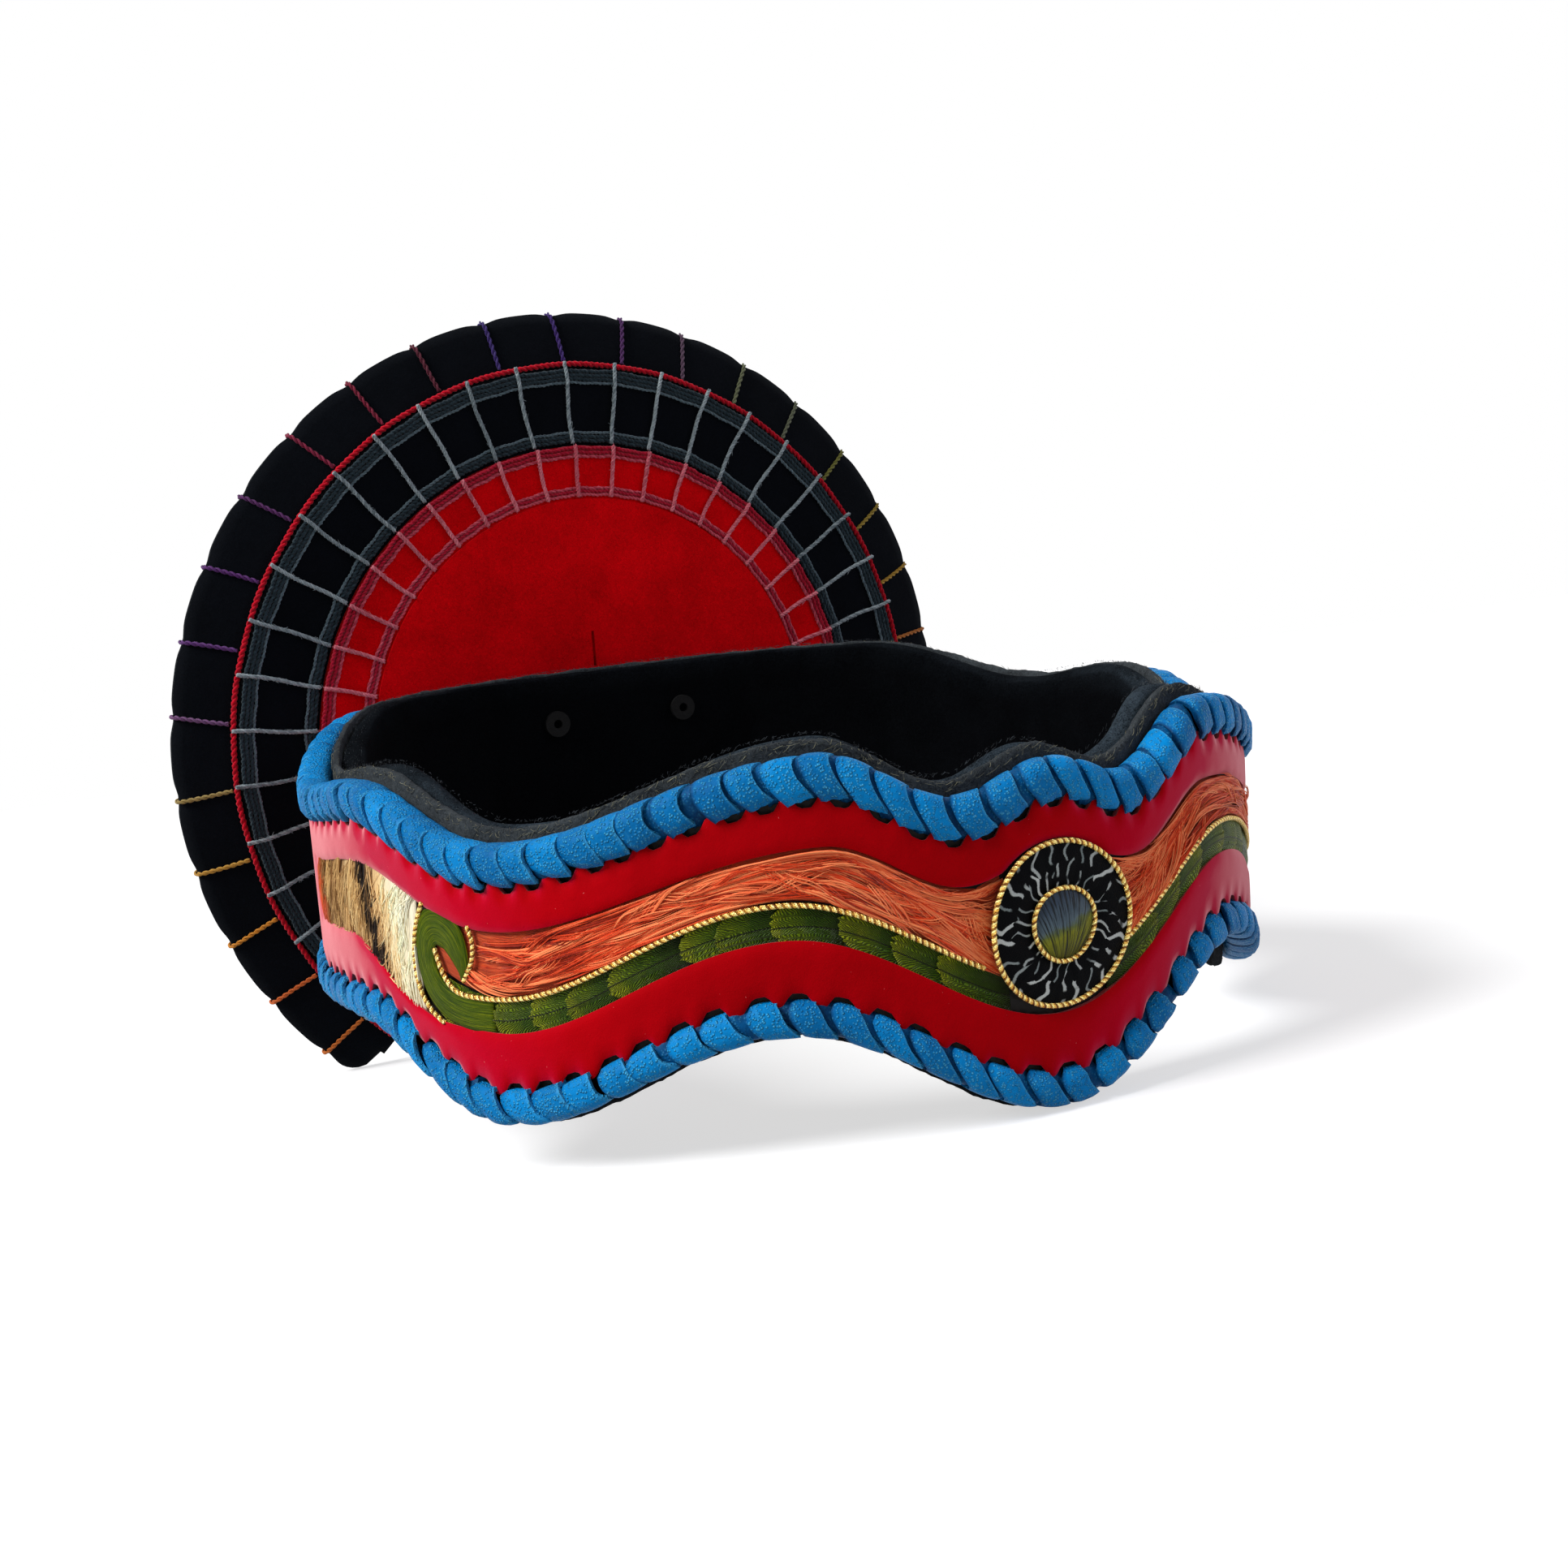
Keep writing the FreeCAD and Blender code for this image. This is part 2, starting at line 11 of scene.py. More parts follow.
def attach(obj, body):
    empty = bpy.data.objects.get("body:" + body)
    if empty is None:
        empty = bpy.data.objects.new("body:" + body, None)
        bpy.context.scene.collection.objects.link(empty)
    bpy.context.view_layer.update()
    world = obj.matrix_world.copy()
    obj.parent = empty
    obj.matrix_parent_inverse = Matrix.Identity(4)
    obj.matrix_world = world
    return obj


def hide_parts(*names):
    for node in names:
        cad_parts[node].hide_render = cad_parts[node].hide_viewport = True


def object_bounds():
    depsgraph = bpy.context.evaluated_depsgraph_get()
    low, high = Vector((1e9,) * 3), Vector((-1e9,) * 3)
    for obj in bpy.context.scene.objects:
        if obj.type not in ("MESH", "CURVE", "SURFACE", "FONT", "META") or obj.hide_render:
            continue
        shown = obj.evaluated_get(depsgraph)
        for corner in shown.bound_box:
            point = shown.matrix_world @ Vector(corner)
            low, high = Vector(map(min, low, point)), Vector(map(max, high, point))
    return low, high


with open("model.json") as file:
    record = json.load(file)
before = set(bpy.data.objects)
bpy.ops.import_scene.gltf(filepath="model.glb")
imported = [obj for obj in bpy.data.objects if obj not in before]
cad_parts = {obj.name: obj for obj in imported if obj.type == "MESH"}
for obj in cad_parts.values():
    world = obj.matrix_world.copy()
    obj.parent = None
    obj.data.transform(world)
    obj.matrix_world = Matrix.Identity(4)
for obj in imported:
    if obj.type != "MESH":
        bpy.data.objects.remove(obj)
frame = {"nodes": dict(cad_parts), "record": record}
cadBox = [list(corner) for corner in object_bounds()]
chance = random.Random(41)
dice = np.random.default_rng(41)
mm = 0.001

# the band's own frame: X to the right, -Y to the medallion, Z up the band's axis

opening = next(m for m in frame["record"]["mounts"] if m["name"] == "head_opening")
bandTilt = math.atan2(-opening["axis"][1], opening["axis"][2])
bandFrame = Matrix.Translation(opening["pos_m"]) @ Matrix.Rotation(bandTilt, 4, "X")
bandTurn = np.array(bandFrame)[:3, :3]
bandCentre = np.array(bandFrame)[:3, 3]

# millimetres and degrees, turn 0 at the medallion
band = {
    "frontReach": 99.0, "sideReach": 95.0, "backReach": 92.4, "backSquareness": 2.5,
    "topKnots": [(0, 29), (10, 24.5), (24, 34), (61, 20), (84, 29), (107, 25), (137, 33.5), (180, 33.5)],
    "lowKnots": [(0, -33), (28, -14), (61, -31), (84, -18), (107, -20), (137, -16), (180, -16)],
    "liningKnots": [(0, 11.5), (107, 11.5), (160, 8.5), (180, 8.5)],
    "laceDropTop": 6.9, "laceDropLow": 6.1, "stripTop": 8.6, "stripLow": 10.9,
    "windowSag": 5.2, "sagTurn": 75.8, "sagReach": 14.5, "windowTurn": 104.0, "borderRise": 6.2,
    "seatRadius": 14.9, "mmPerDegree": 1.66, "meanReach": 97,
}


def toRow(points):
    return np.asarray(points, float) @ bandTurn.T * mm + bandCentre


def eased(turn, knots):
    turn = np.abs(np.asarray(turn, float))
    height = np.full(turn.shape, float(knots[-1][1]))
    for (start, low), (end, high) in zip(knots, knots[1:]):
        share = (turn - start) / (end - start)
        here = (share >= 0) & (share <= 1)
        height = np.where(here, low + (high - low) * (1 - np.cos(np.pi * share)) / 2, height)
    return height


def topEdge(turn):
    return eased(turn, band["topKnots"])


def lowEdge(turn):
    return eased(turn, band["lowKnots"])


def windowTop(turn):
    return topEdge(turn) - band["laceDropTop"] - band["stripTop"]


def lowerStrip(turn):
    return lowEdge(turn) + band["laceDropLow"] + band["stripLow"]


def windowLow(turn):
    away = np.minimum(np.abs(np.abs(turn) - band["sagTurn"]) / band["sagReach"], 1.0)
    return lowerStrip(turn) - band["windowSag"] * (1 + np.cos(np.pi * away)) / 2


def borderLine(turn):
    return lowerStrip(turn) + band["borderRise"]


def planPoint(turn):
    ahead, aside = np.cos(np.radians(turn)), np.sin(np.radians(turn))
    reach = np.where(ahead >= 0, band["frontReach"], band["backReach"])
    power = np.where(ahead >= 0, 2.0, band["backSquareness"])
    radius = ((np.abs(ahead) / reach) ** power + (np.abs(aside) / band["sideReach"]) ** power) ** (-1 / power)
    return np.stack([radius * aside, -radius * ahead], -1)


def onBandMm(turn, out, height):
    turn, out, height = np.broadcast_arrays(*(np.asarray(a, float) for a in (turn, out, height)))
    along = planPoint(turn + 0.05) - planPoint(turn - 0.05)
    along = along / np.linalg.norm(along, axis=-1, keepdims=True)
    outward = np.stack([along[..., 1], -along[..., 0]], -1)
    flat = planPoint(turn) + out[..., None] * outward
    return np.concatenate([flat, height[..., None]], -1)


def onBand(turn, out, height):
    return toRow(onBandMm(turn, out, height))


def rumple(points, scale, seed=0.0):
    # smooth noise from -1 to 1 at each point of an (n, 3) array
    return np.array([noise.noise(Vector(p) * scale + Vector((seed, seed * 1.7, 0))) for p in points])


def rgb(*levels):
    # a screen colour as linear light
    return tuple(((c / 255 + 0.055) / 1.055) ** 2.4 if c > 10 else c / 255 / 12.92 for c in levels)


def sheetGrid(columns, rows, shape, close=False):
    # a grid laid out flat, then placed by shape(along, across), with its UV map from 0 to 1
    bm = bmesh.new()
    bmesh.ops.create_grid(bm, x_segments=columns, y_segments=rows, size=1)
    lay = bm.loops.layers.uv.new("lay")
    flat = np.array([v.co[:] for v in bm.verts])
    for face in bm.faces:
        for loop in face.loops:
            loop[lay].uv = ((loop.vert.co.x + 1) / 2, (loop.vert.co.y + 1) / 2)
    placed = shape((flat[:, 0] + 1) / 2, (flat[:, 1] + 1) / 2)
    for vertex, point in zip(bm.verts, placed):
        vertex.co = point
    if close:
        bmesh.ops.remove_doubles(bm, verts=bm.verts, dist=2e-6)
    return bm


def addPiece(name, source, finishes, slotName, *nodes):
    if isinstance(source, bmesh.types.BMesh):
        mesh = bpy.data.meshes.new(name)
        source.to_mesh(mesh)
        source.free()
    else:
        mesh = source
        mesh.name = name
    mesh.polygons.foreach_set("use_smooth", [True] * len(mesh.polygons))
    piece = bpy.data.objects.new(name, mesh)
    bpy.context.scene.collection.objects.link(piece)
    for finish in finishes:
        mesh.materials.append(finish)
    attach(piece, "root")
    if nodes:
        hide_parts(*nodes)
    return piece


def giveWall(piece, thickness, offset=-1):
    wall = piece.modifiers.new("wall", "SOLIDIFY")
    wall.thickness = thickness * mm
    wall.offset = offset
    return wall


def softenEdges(piece, width, angle):
    soften = piece.modifiers.new("soften", "BEVEL")
    soften.width = width * mm
    soften.segments = 2
    soften.limit_method = "ANGLE"
    soften.angle_limit = math.radians(angle)


def paintPoints(mesh, name, values):
    layer = mesh.attributes.new(name, "FLOAT", "POINT")
    layer.data.foreach_set("value", np.asarray(values, np.float32))


def strands(paths, radii, shades, sides=0, tones=None):
    # round strands along (count, points, 3) paths; radii is (points,) or (count, points)
    paths = np.asarray(paths, float)
    count, points = paths.shape[:2]
    radii = np.broadcast_to(radii, (count, points))
    curve = bpy.data.curves.new("strands", "CURVE")
    curve.dimensions = "3D"
    curve.fill_mode = "FULL"
    curve.bevel_depth = mm
    curve.bevel_resolution = sides
    for path, radius in zip(paths, radii):
        spline = curve.splines.new("POLY")
        spline.points.add(points - 1)
        spline.points.foreach_set("co", np.column_stack([path, np.ones(points)]).ravel())
        spline.points.foreach_set("radius", (radius / mm).astype(np.float32))
    holder = bpy.data.objects.new("strands", curve)
    mesh = bpy.data.meshes.new_from_object(holder)
    bpy.data.objects.remove(holder)
    bpy.data.curves.remove(curve)
    bm = bmesh.new()
    bm.from_mesh(mesh)
    bmesh.ops.holes_fill(bm, edges=[e for e in bm.edges if e.is_boundary], sides=0)
    bm.to_mesh(mesh)
    bm.free()
    each = len(mesh.vertices) // count
    ringSize = each // points
    paintPoints(mesh, "shade", np.repeat(shades, each))
    paintPoints(mesh, "along", np.tile(np.repeat(np.linspace(0, 1, points), ringSize), count))
    if tones is not None:
        layer = mesh.attributes.new("tone", "FLOAT_COLOR", "POINT")
        colours = np.repeat(np.column_stack([tones, np.ones(count)]), each, axis=0)
        layer.data.foreach_set("color", colours.astype(np.float32).ravel())
    return mesh


def joined(meshes):
    bm = bmesh.new()
    for mesh in meshes:
        bm.from_mesh(mesh)
        bpy.data.meshes.remove(mesh)
    return bm


def plies(path, outward, width, pitch, count=3, start=0.0):
    # helical plies round a path, all in metres
    path = np.asarray(path, float)
    ahead = np.gradient(path, axis=0)
    ahead /= np.linalg.norm(ahead, axis=1, keepdims=True)
    outward = outward - ahead * np.sum(outward * ahead, axis=1, keepdims=True)
    outward /= np.linalg.norm(outward, axis=1, keepdims=True)
    across = np.cross(ahead, outward)
    length = np.concatenate([[0], np.cumsum(np.linalg.norm(np.diff(path, axis=0), axis=1))])
    made = []
    for ply in range(count):
        angle = 2 * np.pi * (length / pitch + ply / count) + start
        reach = width * 0.25
        made.append(path + reach * (np.cos(angle)[:, None] * outward + np.sin(angle)[:, None] * across))
    return made


def resampled(points, step):
    # even steps along a smooth run through a few points
    points = np.asarray(points, float)
    for _ in range(4):
        middle = (points[:-1] + points[1:]) / 2
        quarters = np.stack([(points[:-1] + middle) / 2, (middle + points[1:]) / 2], 1)
        points = np.concatenate([points[:1], quarters.reshape(-1, points.shape[1]), points[-1:]])
    length = np.concatenate([[0], np.cumsum(np.linalg.norm(np.diff(points, axis=0), axis=1))])
    even = np.linspace(0, length[-1], max(2, int(round(length[-1] / step)) + 1))
    return np.stack([np.interp(even, length, points[:, i]) for i in range(points.shape[1])], 1)


class Desk:
    def __init__(self, name, colour, roughness, **sockets):
        self.material = bpy.data.materials.new(name)
        self.material.use_nodes = True
        self.tree = self.material.node_tree
        self.shader = self.tree.nodes["Principled BSDF"]
        self.shader.inputs["Base Color"].default_value = (*colour, 1)
        self.shader.inputs["Roughness"].default_value = roughness
        for socket, value in sockets.items():
            self.shader.inputs[socket.replace("_", " ")].default_value = value

    def add(self, kind, numbers=None, **settings):
        node = self.tree.nodes.new("ShaderNode" + kind)
        for key, value in settings.items():
            if hasattr(node, key):
                setattr(node, key, value)
            else:
                self.feed(node.inputs[key.replace("_", " ")], value)
        for index, value in (numbers or {}).items():
            self.feed(node.inputs[index], value)
        return node

    def feed(self, socket, value):
        if isinstance(value, bpy.types.NodeSocket):
            self.tree.links.new(value, socket)
        elif isinstance(value, tuple) and len(value) == 3 and socket.type == "RGBA":
            socket.default_value = (*value, 1)
        else:
            socket.default_value = value

    def place(self, scale=(1, 1, 1)):
        source = self.add("TexCoord").outputs["Object"]
        return self.add("Mapping", Vector=source, Scale=scale).outputs[0]

    def laid(self, along, across):
        # the piece's own map, scaled along and across
        source = self.add("UVMap", uv_map="lay").outputs[0]
        return self.add("Mapping", Vector=source, Scale=(along, across, 1)).outputs[0]

    def layParts(self):
        return self.add("SeparateXYZ", {0: self.add("UVMap", uv_map="lay").outputs[0]}).outputs

    def joinXYZ(self, x, y=0.0, z=0.0):
        return self.add("CombineXYZ", {0: x, 1: y, 2: z}).outputs[0]

    def grain(self, vector, scale, detail=3.0, roughness=0.6, distortion=0.0):
        return self.add("TexNoise", Vector=vector, Scale=scale, Detail=detail, Roughness=roughness,
                        Distortion=distortion).outputs["Fac"]

    def cells(self, vector, scale):
        return self.add("TexVoronoi", Vector=vector, Scale=scale).outputs["Distance"]

    def value(self, name):
        return self.add("Attribute", attribute_name=name).outputs["Fac"]

    def tone(self):
        return self.add("Attribute", attribute_name="tone").outputs["Color"]

    def sum(self, operation, first, second=0.0, third=0.0, clamp=False):
        numbers = {0: first, 1: second, 2: third}
        return self.add("Math", numbers, operation=operation, use_clamp=clamp).outputs[0]

    def times(self, first, second, clamp=False):
        return self.sum("MULTIPLY", first, second, clamp=clamp)

    def timesPlus(self, first, second, third, clamp=False):
        return self.sum("MULTIPLY_ADD", first, second, third, clamp)

    def plus(self, first, second):
        return self.sum("ADD", first, second)

    def minus(self, first, second):
        return self.sum("SUBTRACT", first, second)

    def swing(self, share, reach):
        # half the reach either way from the middle
        return self.times(self.minus(share, 0.5), reach)

    def spread(self, value, fromLow, fromHigh, low=0.0, high=1.0):
        return self.add("MapRange", {0: value, 1: fromLow, 2: fromHigh, 3: low, 4: high}).outputs[0]

    def blend(self, share, first, second, kind="MIX"):
        return self.add("Mix", {0: share, 6: first, 7: second}, data_type="RGBA", blend_type=kind).outputs[2]

    def steps(self, share, stops):
        ramp = self.add("ValToRGB", {0: share})
        while len(ramp.color_ramp.elements) < len(stops):
            ramp.color_ramp.elements.new(0.5)
        for element, (position, colour) in zip(ramp.color_ramp.elements, stops):
            element.position = position
            element.color = (*colour, 1)
        return ramp.outputs[0]

    def colour(self, socket):
        self.feed(self.shader.inputs["Base Color"], socket)

    def rough(self, share, low, high):
        self.feed(self.shader.inputs["Roughness"], self.spread(share, 0.0, 1.0, low, high))

    def bump(self, *layers):
        # each layer is (height, depth in metres)
        under = None
        for height, depth in layers:
            node = self.add("Bump", Height=height, Distance=depth, Strength=1.0)
            if under:
                self.feed(node.inputs["Normal"], under)
            under = node.outputs[0]
        self.feed(self.shader.inputs["Normal"], under)


def laceLeather():
    desk = Desk("blue_lace", rgb(16, 116, 188), 0.4, Sheen_Weight=0.03, Sheen_Roughness=0.4,
                Sheen_Tint=(0.2, 0.7, 1, 1), Specular_IOR_Level=0.07)
    here = desk.place()
    pebbles = desk.cells(here, 1750)
    patches = desk.grain(here, 230, 4)
    shade = desk.value("shade")
    # the shade attribute carries each wrap's own tone plus painted shade in the crevices and on the
    # under-wraps, which this ramp takes down to dark navy
    base = desk.steps(shade, [(0.02, rgb(0, 32, 60)), (0.3, rgb(0, 92, 150)), (1.0, rgb(0, 142, 216))])
    base = desk.blend(desk.times(patches, 0.45), base, rgb(0, 72, 132))
    # painted highlight: the pebble tops are painted pale blue, dimmed where the painted shade is; the same
    # tops also set the roughness and bumps
    peaks = desk.spread(pebbles, 0.1, 0.5, 1.0, 0.0)
    some = desk.spread(desk.grain(here, 620, 2), 0.34, 0.56, 0.15)
    lit = desk.spread(shade, 0.1, 0.5, 0.15)
    peaks = desk.times(peaks, lit)
    base = desk.blend(desk.times(desk.times(peaks, some), 0.62), base, rgb(92, 206, 250))
    # the raised edge and the crease ridge are painted paler, partly as wear and partly as a painted
    # highlight, only where the painted shade is not
    edgeWearAndHighlight = desk.steps(desk.value("edge"), [(0.0, (0, 0, 0)), (0.5, (0, 0, 0)), (1.0, (1, 1, 1))])
    edgeWearAndHighlight = desk.times(desk.times(edgeWearAndHighlight, patches), desk.times(lit, 0.55))
    base = desk.blend(edgeWearAndHighlight, base, rgb(88, 190, 232))
    desk.colour(base)
    desk.rough(peaks, 0.5, 0.2)
    desk.bump((peaks, 0.00034), (patches, 0.0005))
    return desk.material


def redLeather(name, cut):
    desk = Desk(name, rgb(200, 0, 22), 0.6, Sheen_Weight=0.06, Sheen_Roughness=0.26,
                Sheen_Tint=(1, 0.4, 0.5, 1), Specular_IOR_Level=0.02)
    here = desk.place()
    nap = desk.grain(here, 2600, 5, 0.7)
    cloud = desk.grain(here, 55, 4)
    if cut:
        desk.colour(desk.blend(nap, rgb(120, 20, 30), rgb(214, 104, 100)))
    else:
        base = desk.blend(cloud, rgb(144, 0, 3), rgb(188, 0, 12))
        base = desk.blend(desk.times(nap, 0.3), base, rgb(118, 0, 14))
        # painted sheen: the colour turns pale pink where the surface is seen along its length, broken up by
        # the nap
        facing = desk.add("LayerWeight", Blend=0.5).outputs["Facing"]
        grazingSheen = desk.times(desk.spread(facing, 0.06, 0.4), desk.timesPlus(nap, 0.5, 0.72), clamp=True)
        tone = desk.steps(facing, [(0.18, rgb(184, 0, 14)), (0.34, rgb(188, 6, 38)), (0.6, rgb(186, 44, 70)),
                                   (0.84, rgb(224, 136, 142))])
        base = desk.blend(grazingSheen, base, tone)
        lint = desk.sum("GREATER_THAN", desk.grain(here, 1500, 1), 0.8)
        desk.colour(desk.blend(desk.times(lint, 0.5), base, rgb(235, 120, 120)))
    desk.rough(nap, 0.5, 0.74)
    desk.bump((nap, 0.00006), (cloud, 0.0005))
    return desk.material


def feltGrain(desk, here, scale):
    # fine tangled fibres, soft clouds, and the two together
    fibres = desk.grain(here, scale, 6, 0.72, 1.5)
    cloud = desk.grain(here, 90, 4)
    return fibres, cloud, desk.timesPlus(fibres, 0.7, desk.times(cloud, 0.3))


def feltCloth(name, dark, light, sheen, scale=2200, depth=0.00012, tint=(0.6, 0.66, 0.7, 1)):
    desk = Desk(name, light, 0.95, Sheen_Weight=sheen, Sheen_Roughness=0.6, Sheen_Tint=tint,
                Specular_IOR_Level=0.03)
    fibres, cloud, both = feltGrain(desk, desk.place(), scale)
    desk.colour(desk.steps(both, [(0.36, dark), (0.66, light)]))
    desk.bump((fibres, depth), (cloud, 0.0004))
    return desk.material


def padCloth():
    # painted light and shade: charcoal where it rolls over the top edge, almost black inside, and the roll
    # darker towards the back
    desk = Desk("pad_felt", rgb(6, 7, 9), 0.95, Specular_IOR_Level=0.02)
    here = desk.place()
    fibres, cloud, both = feltGrain(desk, here, 1900)
    roll = desk.spread(desk.layParts()[1], 0.2, 0.28, 1.0, 0.0)
    inside = desk.steps(both, [(0.36, rgb(1, 1, 2)), (0.66, rgb(9, 11, 14))])
    outside = desk.steps(both, [(0.4, rgb(5, 8, 11)), (0.62, rgb(68, 80, 90))])
    depth = desk.add("SeparateXYZ", {0: here}).outputs[1]
    front = desk.spread(depth, -0.07, 0.0, 1.0, 0.12)
    desk.colour(desk.blend(desk.times(roll, front), inside, outside))
    desk.bump((fibres, 0.0004), (cloud, 0.0005))
    return desk.material


def barbs(name, deep, middle, bright, sheen=0.2):
    # fine strands that carry a shade of their own
    desk = Desk(name, middle, 0.5, Sheen_Weight=sheen, Sheen_Roughness=0.4, Specular_IOR_Level=0.12)
    shade = desk.value("shade")
    here = desk.place()
    cloud = desk.grain(here, 160, 3)
    both = desk.timesPlus(cloud, 0.5, desk.times(shade, 0.75), clamp=True)
    desk.colour(desk.steps(both, [(0.12, deep), (0.5, middle), (0.95, bright)]))
    desk.bump((desk.grain(here, 2800, 2), 0.00004))
    return desk.material


def orangeBed():
    desk = Desk("orange_bed", rgb(205, 85, 45), 0.55, Sheen_Weight=0.1, Specular_IOR_Level=0.1)
    wave = desk.grain(desk.laid(5, 2), 1.0, 2)
    bend = desk.joinXYZ(0.0, desk.times(wave, 26))
    bent = desk.add("VectorMath", {0: desk.laid(9, 70), 1: bend}, operation="ADD").outputs[0]
    hair = desk.grain(bent, 2.2, 5, 0.65)
    desk.colour(desk.steps(hair, [(0.34, rgb(118, 12, 2)), (0.48, rgb(206, 62, 18)),
                                  (0.66, rgb(246, 116, 60))]))
    desk.bump((hair, 0.0005))
    return desk.material


def greenVane():
    # barbs sweep from the shaft towards the free tip, which is paler
    desk = Desk("green_vane", rgb(55, 82, 16), 0.42, Sheen_Weight=0.08, Sheen_Roughness=0.35,
                Sheen_Tint=(0.85, 1, 0.4, 1), Specular_IOR_Level=0.1)
    lay = desk.layParts()
    off = desk.sum("ABSOLUTE", desk.minus(lay[1], 0.44))
    jitter = desk.grain(desk.place(), 240, 3)
    sweep = desk.plus(desk.times(lay[0], 28), desk.times(off, 26))
    sweep = desk.plus(sweep, desk.times(jitter, 6))
    line = desk.timesPlus(desk.sum("SINE", desk.times(sweep, 6.283)), 0.5, 0.5)
    tip = desk.plus(lay[0], desk.swing(jitter, 0.7))
    vane = desk.steps(tip, [(0.0, rgb(156, 166, 20)), (0.16, rgb(112, 136, 8)), (0.42, rgb(66, 100, 4)),
                            (0.85, rgb(18, 38, 4))])
    vane = desk.blend(desk.times(desk.value("shade"), 0.35), vane, rgb(24, 48, 4))
    vane = desk.blend(desk.times(line, 0.9), vane, rgb(3, 8, 1))
    splits = desk.spread(desk.grain(desk.laid(4, 34), 1.0, 2), 0.62, 0.7)
    vane = desk.blend(desk.times(splits, 0.8), vane, rgb(6, 12, 4))
    shaft = desk.sum("LESS_THAN", off, 0.018)
    vane = desk.blend(desk.times(shaft, 0.85), vane, rgb(8, 12, 5))
    desk.colour(vane)
    desk.rough(line, 0.34, 0.6)
    desk.bump((desk.minus(1.0, line), 0.00025), (jitter, 0.0003))
    return desk.material


def curlVane():
    desk = Desk("curl_vane", rgb(64, 92, 8), 0.5, Sheen_Weight=0.04, Sheen_Roughness=0.35,
                Sheen_Tint=(0.85, 1, 0.4, 1), Specular_IOR_Level=0.06)
    hair = desk.grain(desk.laid(4, 30), 1.6, 5, 0.65, 0.8)
    cloud = desk.grain(desk.place(), 240, 3)
    base = desk.steps(hair, [(0.34, rgb(14, 26, 0)), (0.5, rgb(66, 90, 0)), (0.68, rgb(148, 156, 12))])
    desk.colour(desk.blend(desk.times(cloud, 0.6), base, rgb(34, 52, 0)))
    desk.bump((hair, 0.0003))
    return desk.material


bandedStops = [
    (0.0, (255, 249, 222)), (0.13, (255, 244, 208)), (0.2, (244, 212, 154)), (0.265, (194, 150, 96)),
    (0.288, (52, 38, 30)), (0.31, (22, 18, 16)), (0.345, (26, 20, 18)), (0.37, (122, 88, 54)),
    (0.42, (210, 170, 110)), (0.5, (232, 200, 142)), (0.57, (140, 98, 52)), (0.64, (216, 176, 116)),
    (0.72, (122, 82, 42)), (0.8, (206, 166, 106)), (0.9, (134, 90, 46)), (1.0, (212, 82, 40))]


def bandedVane():
    # cream beside the curl, then tan, a black bar, tan and brown
    desk = Desk("banded_vane", rgb(245, 228, 185), 0.7, Sheen_Weight=0.08, Sheen_Roughness=0.5,
                Specular_IOR_Level=0.1)
    lay = desk.layParts()
    cloud = desk.grain(desk.place(), 150, 4)
    hair = desk.grain(desk.laid(60, 3), 1.6, 5, 0.65, 0.5)
    place = desk.plus(lay[0], desk.swing(cloud, 0.2))
    place = desk.minus(place, desk.swing(lay[1], 0.12))
    base = desk.steps(place, [(p, rgb(*c)) for p, c in bandedStops])
    desk.colour(desk.blend(desk.times(hair, 0.4), base, rgb(150, 116, 80), "MULTIPLY"))
    desk.bump((hair, 0.0004))
    return desk.material


def bandedHair():
    desk = Desk("banded_barbs", rgb(240, 220, 170), 0.6, Sheen_Weight=0.08, Sheen_Roughness=0.4,
                Specular_IOR_Level=0.1)
    tone = desk.tone()
    cloud = desk.grain(desk.place(), 900, 3)
    desk.colour(desk.blend(desk.times(cloud, 0.12), tone, rgb(90, 62, 34)))
    desk.bump((cloud, 0.00006))
    return desk.material


def goldThread():
    desk = Desk("gold_cord", rgb(236, 186, 84), 0.3, Metallic=0.7, Specular_IOR_Level=0.6)
    here = desk.place()
    lines = desk.cells(here, 4200)
    cloud = desk.grain(here, 1100, 3)
    # the plies' shades paint one ply dark as shade and one pale as a highlight, in place of the contrast that
    # reflections would give
    both = desk.timesPlus(cloud, 0.45, desk.times(desk.value("shade"), 0.6))
    desk.colour(desk.steps(both, [(0.26, rgb(110, 62, 10)), (0.46, rgb(222, 162, 48)),
                                  (0.66, rgb(255, 236, 150))]))
    desk.rough(lines, 0.16, 0.45)
    desk.bump((lines, 0.00018))
    return desk.material


